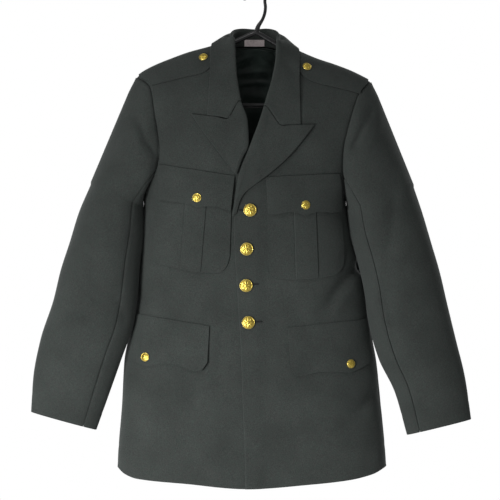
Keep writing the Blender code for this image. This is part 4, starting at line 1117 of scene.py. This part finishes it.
# The satin inside the neck, in soft folds: x1 z1 x2 z2 bow width depth, seen from the front
SATIN_FOLDS = (
    (-38, -133, 2, -115, 3, 4.5, -2.4), (-34, -142, 6, -128, -2, 4, 1.2), (10, -103, 40, -126, -3, 4.5, -2.6),
    (4, -112, 30, -132, -2, 4, 1.3), (-32, -152, 34, -147, 2, 5, -2), (-30, -160, 30, -158, -2, 4, 1.2),
    (-36, -171, 32, -168, 3, 4.5, -1.8), (-20, -190, 26, -196, 2, 7, -1.4), (-52, -230, 30, -222, 4, 12, -1.6),
    (-40, -268, 44, -256, -5, 14, -1.5), (-12, -120, 4, -200, 3, 6, 0.9), (24, -130, 20, -210, 3, 7, -1.1),
)
LINING_HALF = 56.0
LINING_LOW = -330.0
LABEL_ENDS = (-19.0, 17.0)
LABEL_EDGES = (-91.0, -103.0)


def make_lining():
    u, v = spaced(84)[None, :], spaced(100)[:, None]
    x = mix(-LINING_HALF, LINING_HALF, u)
    top = shoulder_z(x) - neck_drop(x) - 2.0
    z = mix(top, LINING_LOW, v)
    x = x * (1 + 1.1 * ease(v * 2.2))
    loose = creases(x, z, SATIN_FOLDS) * ease(v / 0.12) * ease((1 - v) / 0.1)
    inward = PANEL + mix(2.0, 0.8, ease(v * 3)) + np.maximum(-loose + 1.0 * ease(v / 0.12), -0.4)
    outer, inner = on_back(x, z, -inward), on_back(x, z, -inward - LINING)
    rests = ["back_left_cloth", "back_right_cloth"]
    cloth_piece("back_lining_satin", "lining_back", inner, outer, [SATIN], "hung", rests)


def stand_inner_y(x, z):
    stations = [collar_station("right", "back", 1), collar_station("right", "back", 0),
                collar_station("right", "middle", 0), collar_station("left", "back", 0),
                collar_station("left", "back", 1)]
    depths = []
    for seam, stand, turn in (station[:3] for station in stations):
        low, high = (seam, stand) if z < stand[2] else (stand, turn)
        depths.append((seam[0], mix(low[1], high[1], (z - low[2]) / (high[2] - low[2]))))
    return np.interp(x, [d[0] for d in depths], [d[1] for d in depths]) - FOLDED / 2 - 1.0


def make_label():
    x = mix(*LABEL_ENDS, spaced(24))
    levels = mix(*LABEL_EDGES, spaced(10))
    grid = np.array([[(a, b, z) for a, b in zip(x, stand_inner_y(x, z) - GAP)] for z in levels])
    across = (x[None, :] + 1.0) / 18.0
    grid[..., 1] -= 0.35 * (1 - across ** 2) + 0.12 * np.sin(across * 9.0)
    back = grid + np.array([0.0, -LINING * 0.6, 0.0])
    cloth_piece("blank_label", "neck_label", back, grid, [TAPE], "stretched", ["collar_cloth"])


# Buttons: shank, back, rolled rim and dome, then a plain rosette in low relief.
# The rim's rings, from the shank to the dome's foot, are shares of the button's radius with their rise
SHANK = 0.155
BUTTON_RIM = ((0.60, 0.0), (0.93, 0.05), (0.985, 0.28), (1.0, 0.5), (0.985, 0.45), (0.945, 0.22), (0.905, -0.08),
              (0.885, -0.20), (0.865, 0.10))
DOME_RINGS = 15
DOME_RISE = 2.9
# The rosette by share of the radius: how many, how high, where and how wide
PETALS = (8, 0.48, 0.50, 0.17)
BEADS = (32, 0.26, 0.80, 0.05)
GROOVE = (0, -0.36, 0.71, 0.03)
BOSS_RING = (0, -0.22, 0.22, 0.05)
BOSS_HIGH, BOSS_WIDE = 0.42, 0.15
DOME_FOOT = 2.2


def grow(scale, rise):
    """Pull the chosen face out into the next ring."""
    bpy.ops.mesh.extrude_region_move(TRANSFORM_OT_translate={"value": (0.0, 0.0, rise * MM)})
    bpy.ops.transform.resize(value=(scale, scale, 1.0))


def model_button():
    """One large button with its shank on the origin, facing up."""
    radius = LARGE_BUTTON / 2
    bpy.ops.object.select_all(action="DESELECT")
    bpy.ops.mesh.primitive_cylinder_add(vertices=96, radius=radius * SHANK * MM, depth=1.5 * MM,
                                        location=(0, 0, 0.75 * MM))
    button = bpy.context.active_object
    bpy.ops.object.transform_apply(location=True)
    bpy.ops.object.mode_set(mode="EDIT")
    bpy.ops.mesh.select_all(action="DESELECT")
    bm = bmesh.from_edit_mesh(button.data)
    for face in bm.faces:
        face.select_set(face.normal.z > 0.9)
    bmesh.update_edit_mesh(button.data)
    arc = [math.pi / 2 * i / DOME_RINGS for i in range(DOME_RINGS)]
    dome = [(BUTTON_RIM[-1][0] * math.cos(b), DOME_RISE * (math.sin(b) - math.sin(a))) for a, b in zip(arc, arc[1:])]
    wide = SHANK
    for target, rise in (*BUTTON_RIM, *dome):
        grow(target / wide, rise)
        wide = target
    bpy.ops.mesh.poke()
    bpy.ops.mesh.select_all(action="SELECT")
    bpy.ops.mesh.normals_make_consistent(inside=False)
    bpy.ops.object.mode_set(mode="OBJECT")
    for vertex in button.data.vertices:
        x, y, z = vertex.co
        share, around = math.hypot(x, y) / (radius * MM), math.atan2(y, x)
        if z < DOME_FOOT * MM:
            continue
        relief = BOSS_HIGH * math.exp(-(share / BOSS_WIDE) ** 4)
        for count, high, where, wide in (PETALS, BOSS_RING, BEADS, GROOVE):
            relief += high * math.cos(count * around) * math.exp(-((share - where) / wide) ** 2)
        vertex.co.z += relief * MM
    button.data.shade_smooth()
    return button


FRONT_BUTTONS = ((-9.0, -401.0), (-15.0, -470.0), (-16.0, -535.0), (-12.0, -601.0))
SMALL_BUTTONS = {
    "shoulder_button_right": ("right", -92.0, -129.0, LOOP_LIFT + PATCH + 0.3),
    "shoulder_button_left": ("left", 92.0, -146.0, LOOP_LIFT + PATCH + 0.3),
    "breast_button_right": ("right", -102.0, -379.0, FLAP_LIFT + FLAP + 0.4),
    "breast_button_left": ("left", 88.0, -392.0, FLAP_LIFT + FLAP + 0.4),
    "lower_button_right": ("right", -194.0, -663.0, LIE + FLAP + 0.6),
    "lower_button_left": ("left", 169.0, -675.0, LIE + FLAP + 0.6),
}


def set_button(pattern, name, side, x, z, lift, size, turn):
    mesh = pattern.data.copy()
    mesh.name = name + "_gilt"
    place = on_front(x, z, front_lift(side, x) + lift)
    up = Vector(ring_normal(ring_angle(np.array(x), np.array(z)), np.array(z)).ravel())
    lean = up.to_track_quat("Z", "Y").to_matrix().to_4x4()
    mesh.transform(Matrix.Translation(Vector(place.ravel()) * MM) @ lean @ Matrix.Rotation(turn, 4, "Z")
                   @ Matrix.Scale(size / LARGE_BUTTON, 4))
    mesh.materials.clear()
    mesh.materials.append(GILT)
    piece = bpy.data.objects.new(name + "_gilt", mesh)
    bpy.context.scene.collection.objects.link(piece)
    settle(piece, name)


def make_buttons():
    pattern = model_button()
    for i, (x, z) in enumerate(FRONT_BUTTONS):
        set_button(pattern, "front_button_" + str(i + 1), "left", x, z, GAP, LARGE_BUTTON, 0.3 + 0.7 * i)
    for i, (name, (side, x, z, lift)) in enumerate(SMALL_BUTTONS.items()):
        set_button(pattern, name, side, x, z, lift, SMALL_BUTTON, 0.5 * i)
    bpy.data.objects.remove(pattern, do_unlink=True)


HOLE_HALF = 1.25
HOLE_STITCH = 0.62
# Sewn buttonholes by their ends seen from the front: inner end, outer end and height
BUTTONHOLES = ((-29.0, -3.0, -401.0), (-27.0, -1.5, -469.5), (-20.0, 6.0, -532.5), (-14.5, 11.5, -599.5))


def loop_tube(name, points, radius, sides, closed, finish_used):
    """A tube swept along points."""
    points = np.asarray(points, float)
    ahead = np.roll(points, -1, 0) - np.roll(points, 1, 0)
    if not closed:
        ahead[0], ahead[-1] = points[1] - points[0], points[-1] - points[-2]
    ahead = unit(ahead)
    aside = unit(np.cross(ahead, np.array([0.0, 1.0, 0.0])))
    up = np.cross(aside, ahead)
    turn = np.linspace(0, math.tau, sides, endpoint=False)
    radius = np.broadcast_to(np.asarray(radius, float), (len(points),))[:, None, None]
    rings = points[:, None, :] + radius * (aside[:, None, :] * np.cos(turn)[None, :, None]
                                           + up[:, None, :] * np.sin(turn)[None, :, None])
    count = len(points)
    faces = []
    for i in range(count if closed else count - 1):
        j = (i + 1) % count
        for k in range(sides):
            m = (k + 1) % sides
            faces.append((i * sides + k, i * sides + m, j * sides + m, j * sides + k))
    if not closed:
        faces.append(tuple(range(sides)))
        faces.append(tuple((count - 1) * sides + k for k in range(sides)))
    return mesh_piece(name, rings.reshape(-1, 3), faces, [finish_used])


def make_buttonholes():
    for i, (start, end, z) in enumerate(BUTTONHOLES):
        turn = np.linspace(0, math.tau, 72, endpoint=False)
        middle, half = (start + end) / 2, (end - start) / 2
        x = middle + half * np.sign(np.cos(turn)) * np.abs(np.cos(turn)) ** 0.55
        level = z + HOLE_HALF * np.sign(np.sin(turn)) * np.abs(np.sin(turn)) ** 0.8
        stitch = 0.12 * np.cos(turn * 36)
        # The stitched rim of the hole: real thread, coloured near black as painted shade of the buttonhole
        piece = loop_tube("buttonhole_" + str(i + 1), on_front(x, level, LAP_OUT + 0.45), HOLE_STITCH + stitch, 8,
                          True, THREAD_AND_SLIT_SHADE)
        settle(piece)
        # A dark tube along the middle of each buttonhole: painted shadow in the slit, in the near-black thread
        # finish
        slit = on_front(np.linspace(start + 1, end - 1, 14), np.full(14, z), LAP_OUT + 0.1)
        cut = loop_tube("buttonhole_slit_shade_" + str(i + 1), slit, 0.5, 6, False, THREAD_AND_SLIT_SHADE)
        settle(cut)


# Hanger: arms and bar in one smooth loop that curves down into the bar at each end, and the wire hook
BAR_Z = -212.0
ARM_END = 203.0
APEX = (2.0, -80.0)
ARM_DROP = PANEL + TUBE + 1.6
ARM_STEPS = 12
NECK_THICK = 4.6
NECK_STEPS = 14
WIRE_TIP = np.array([1.0, 1.08, 1.0, 0.72])


def hanger_line():
    points = [(APEX[0], APEX[1])]
    for towards in (1, -1):
        reach = towards * np.linspace(60, ARM_END - 14, ARM_STEPS)
        arm = [(x, float(shoulder_z(x)) - ARM_DROP) for x in reach]
        end = arm[-1][1]
        arm += [(towards * (ARM_END - 4), end - 6), (towards * (ARM_END + 1), end - 17),
                (towards * (ARM_END - 2), BAR_Z + 12), (towards * (ARM_END - 10), BAR_Z + 3),
                (towards * (ARM_END - 22), BAR_Z)]
        points += arm + [(100.0, BAR_Z), (0.0, BAR_Z), (-100.0, BAR_Z)] if towards == 1 else arm[::-1]
    points.append(points[0])
    grid = np.array([[(x, 0.0, z)] for x, z in points])
    return through(grid, 0, 6)[:-1, 0]


def hook_line():
    top = -HOOK_WIRE
    points = [(APEX[0], APEX[1] - 1.0), (6.0, -70.0), (13.0, -61.0), (17.5, -51.0), (18.8, -40.0)]
    for degrees in range(-20, 201, 20):
        a = math.radians(degrees)
        points.append((HOOK_RADIUS * math.cos(a), top - HOOK_RADIUS + HOOK_RADIUS * math.sin(a)))
    shift = HOOK_WIRE * 2
    lifted = [(x, z + (shift if z > -45 else shift * float(ease((z + 78) / 33)))) for x, z in points]
    return through(np.array([[(x, 0.0, z)] for x, z in lifted]), 0, 6)[:, 0]


def make_hanger():
    body = loop_tube("hanger_moulding", hanger_line(), TUBE, 24, True, BLACK)
    wire = hook_line()
    radius = np.full(len(wire), HOOK_WIRE)
    radius[:NECK_STEPS] = mix(NECK_THICK, HOOK_WIRE, ease(np.linspace(0, 1, NECK_STEPS)))
    radius[-len(WIRE_TIP):] = HOOK_WIRE * WIRE_TIP
    hook = loop_tube("hanger_hook", wire, radius, 20, False, BLACK)
    join = body.modifiers.new("hook_join", "BOOLEAN")
    join.operation, join.object = "UNION", hook
    bpy.ops.object.select_all(action="DESELECT")
    bpy.context.view_layer.objects.active = body
    bpy.ops.object.modifier_apply(modifier=join.name)
    bpy.data.objects.remove(hook, do_unlink=True)
    body.data.shade_smooth()
    settle(body, "hanger")


for side in ("left", "right"):
    make_body(side, False)
    make_body(side, True)
    make_sleeve(side, "top")
    make_sleeve(side, "under")
    make_lapel(side)
    make_pocket(side)
    make_loop(side)
make_collar()
for name in FLAPS:
    make_flap(name)
make_lining()
make_label()
make_buttons()
make_buttonholes()
make_hanger()


# Room, light and camera
FLOOR_Z = -1450.0
FLOOR_RADIUS = 7400.0
AIR_LIGHT = 0.25


def pale_floor():
    """A plain floor under the coat, with nothing behind it."""
    turn = np.linspace(0, math.tau, 96, endpoint=False)
    points = np.stack([FLOOR_RADIUS * np.cos(turn), FLOOR_RADIUS * np.sin(turn), np.full(96, FLOOR_Z)], -1)
    material, tree, shader, solid, _ = finish("pale_paper", (0.93, 0.93, 0.93), 0.95)
    tree.links.new(ramp(tree, noise(tree, solid, 2.0, 2.0), (0.0, 0.92), (1.0, 0.95)), shader.inputs["Base Color"])
    floor = mesh_piece("floor", points, [tuple(range(96))], [material])


# Lights: name, place, aim, size, power and spread
LIGHTS = (
    ("front_soft", (-0.9, -1.6, 1.4), (0.0, 0.0, -0.7), 0.35, 9.0, 180.0),
    ("low_soft", (-1.2, -1.6, -0.9), (0.0, 0.0, -1.0), 0.6, 7.6, 85.0),
    ("back_left", (1.7, 2.3, 0.7), (0.0, 0.0, -0.5), 1.0, 22.0, 180.0),
    ("back_right", (-1.7, 2.3, 0.4), (0.0, 0.0, -0.5), 1.0, 14.0, 180.0),
)


def soft_light(name, place, aim, size, power, spread):
    data = bpy.data.lights.new(name, "AREA")
    data.shape, data.size, data.energy, data.spread = "DISK", size, power, math.radians(spread)
    lamp = bpy.data.objects.new(name, data)
    bpy.context.scene.collection.objects.link(lamp)
    lamp.location = place
    lamp.rotation_euler = (Vector(aim) - Vector(place)).to_track_quat("-Z", "Y").to_euler()


def room_air():
    world = bpy.context.scene.world or bpy.data.worlds.new("room_air")
    bpy.context.scene.world = world
    world.use_nodes = True
    air = world.node_tree.nodes["Background"]
    air.inputs["Color"].default_value = (1.0, 1.0, 1.0, 1.0)
    path = node(world.node_tree, "ShaderNodeLightPath")
    share = node(world.node_tree, "ShaderNodeMapRange")
    world.node_tree.links.new(path.outputs["Is Camera Ray"], share.inputs["Value"])
    share.inputs["To Min"].default_value = AIR_LIGHT
    share.inputs["To Max"].default_value = 1.0
    world.node_tree.links.new(share.outputs["Result"], air.inputs["Strength"])


PHOTO_WIDTH = 500
SENSOR = 36.0
CAMERA_PLACE = (-0.009, -7.0, -0.472)


def photo_camera():
    data = bpy.data.cameras.new("photo_camera")
    data.sensor_width = SENSOR
    data.lens = SENSOR * -CAMERA_PLACE[1] / (PHOTO_WIDTH * PHOTO_PIXEL * MM)
    camera = bpy.data.objects.new("photo_camera", data)
    bpy.context.scene.collection.objects.link(camera)
    camera.location = CAMERA_PLACE
    camera.rotation_euler = (math.pi / 2, 0.0, 0.0)
    bpy.context.scene.camera = camera


pale_floor()
for row in LIGHTS:
    soft_light(*row)
room_air()
photo_camera()
bpy.context.scene.view_settings.view_transform = "Standard"
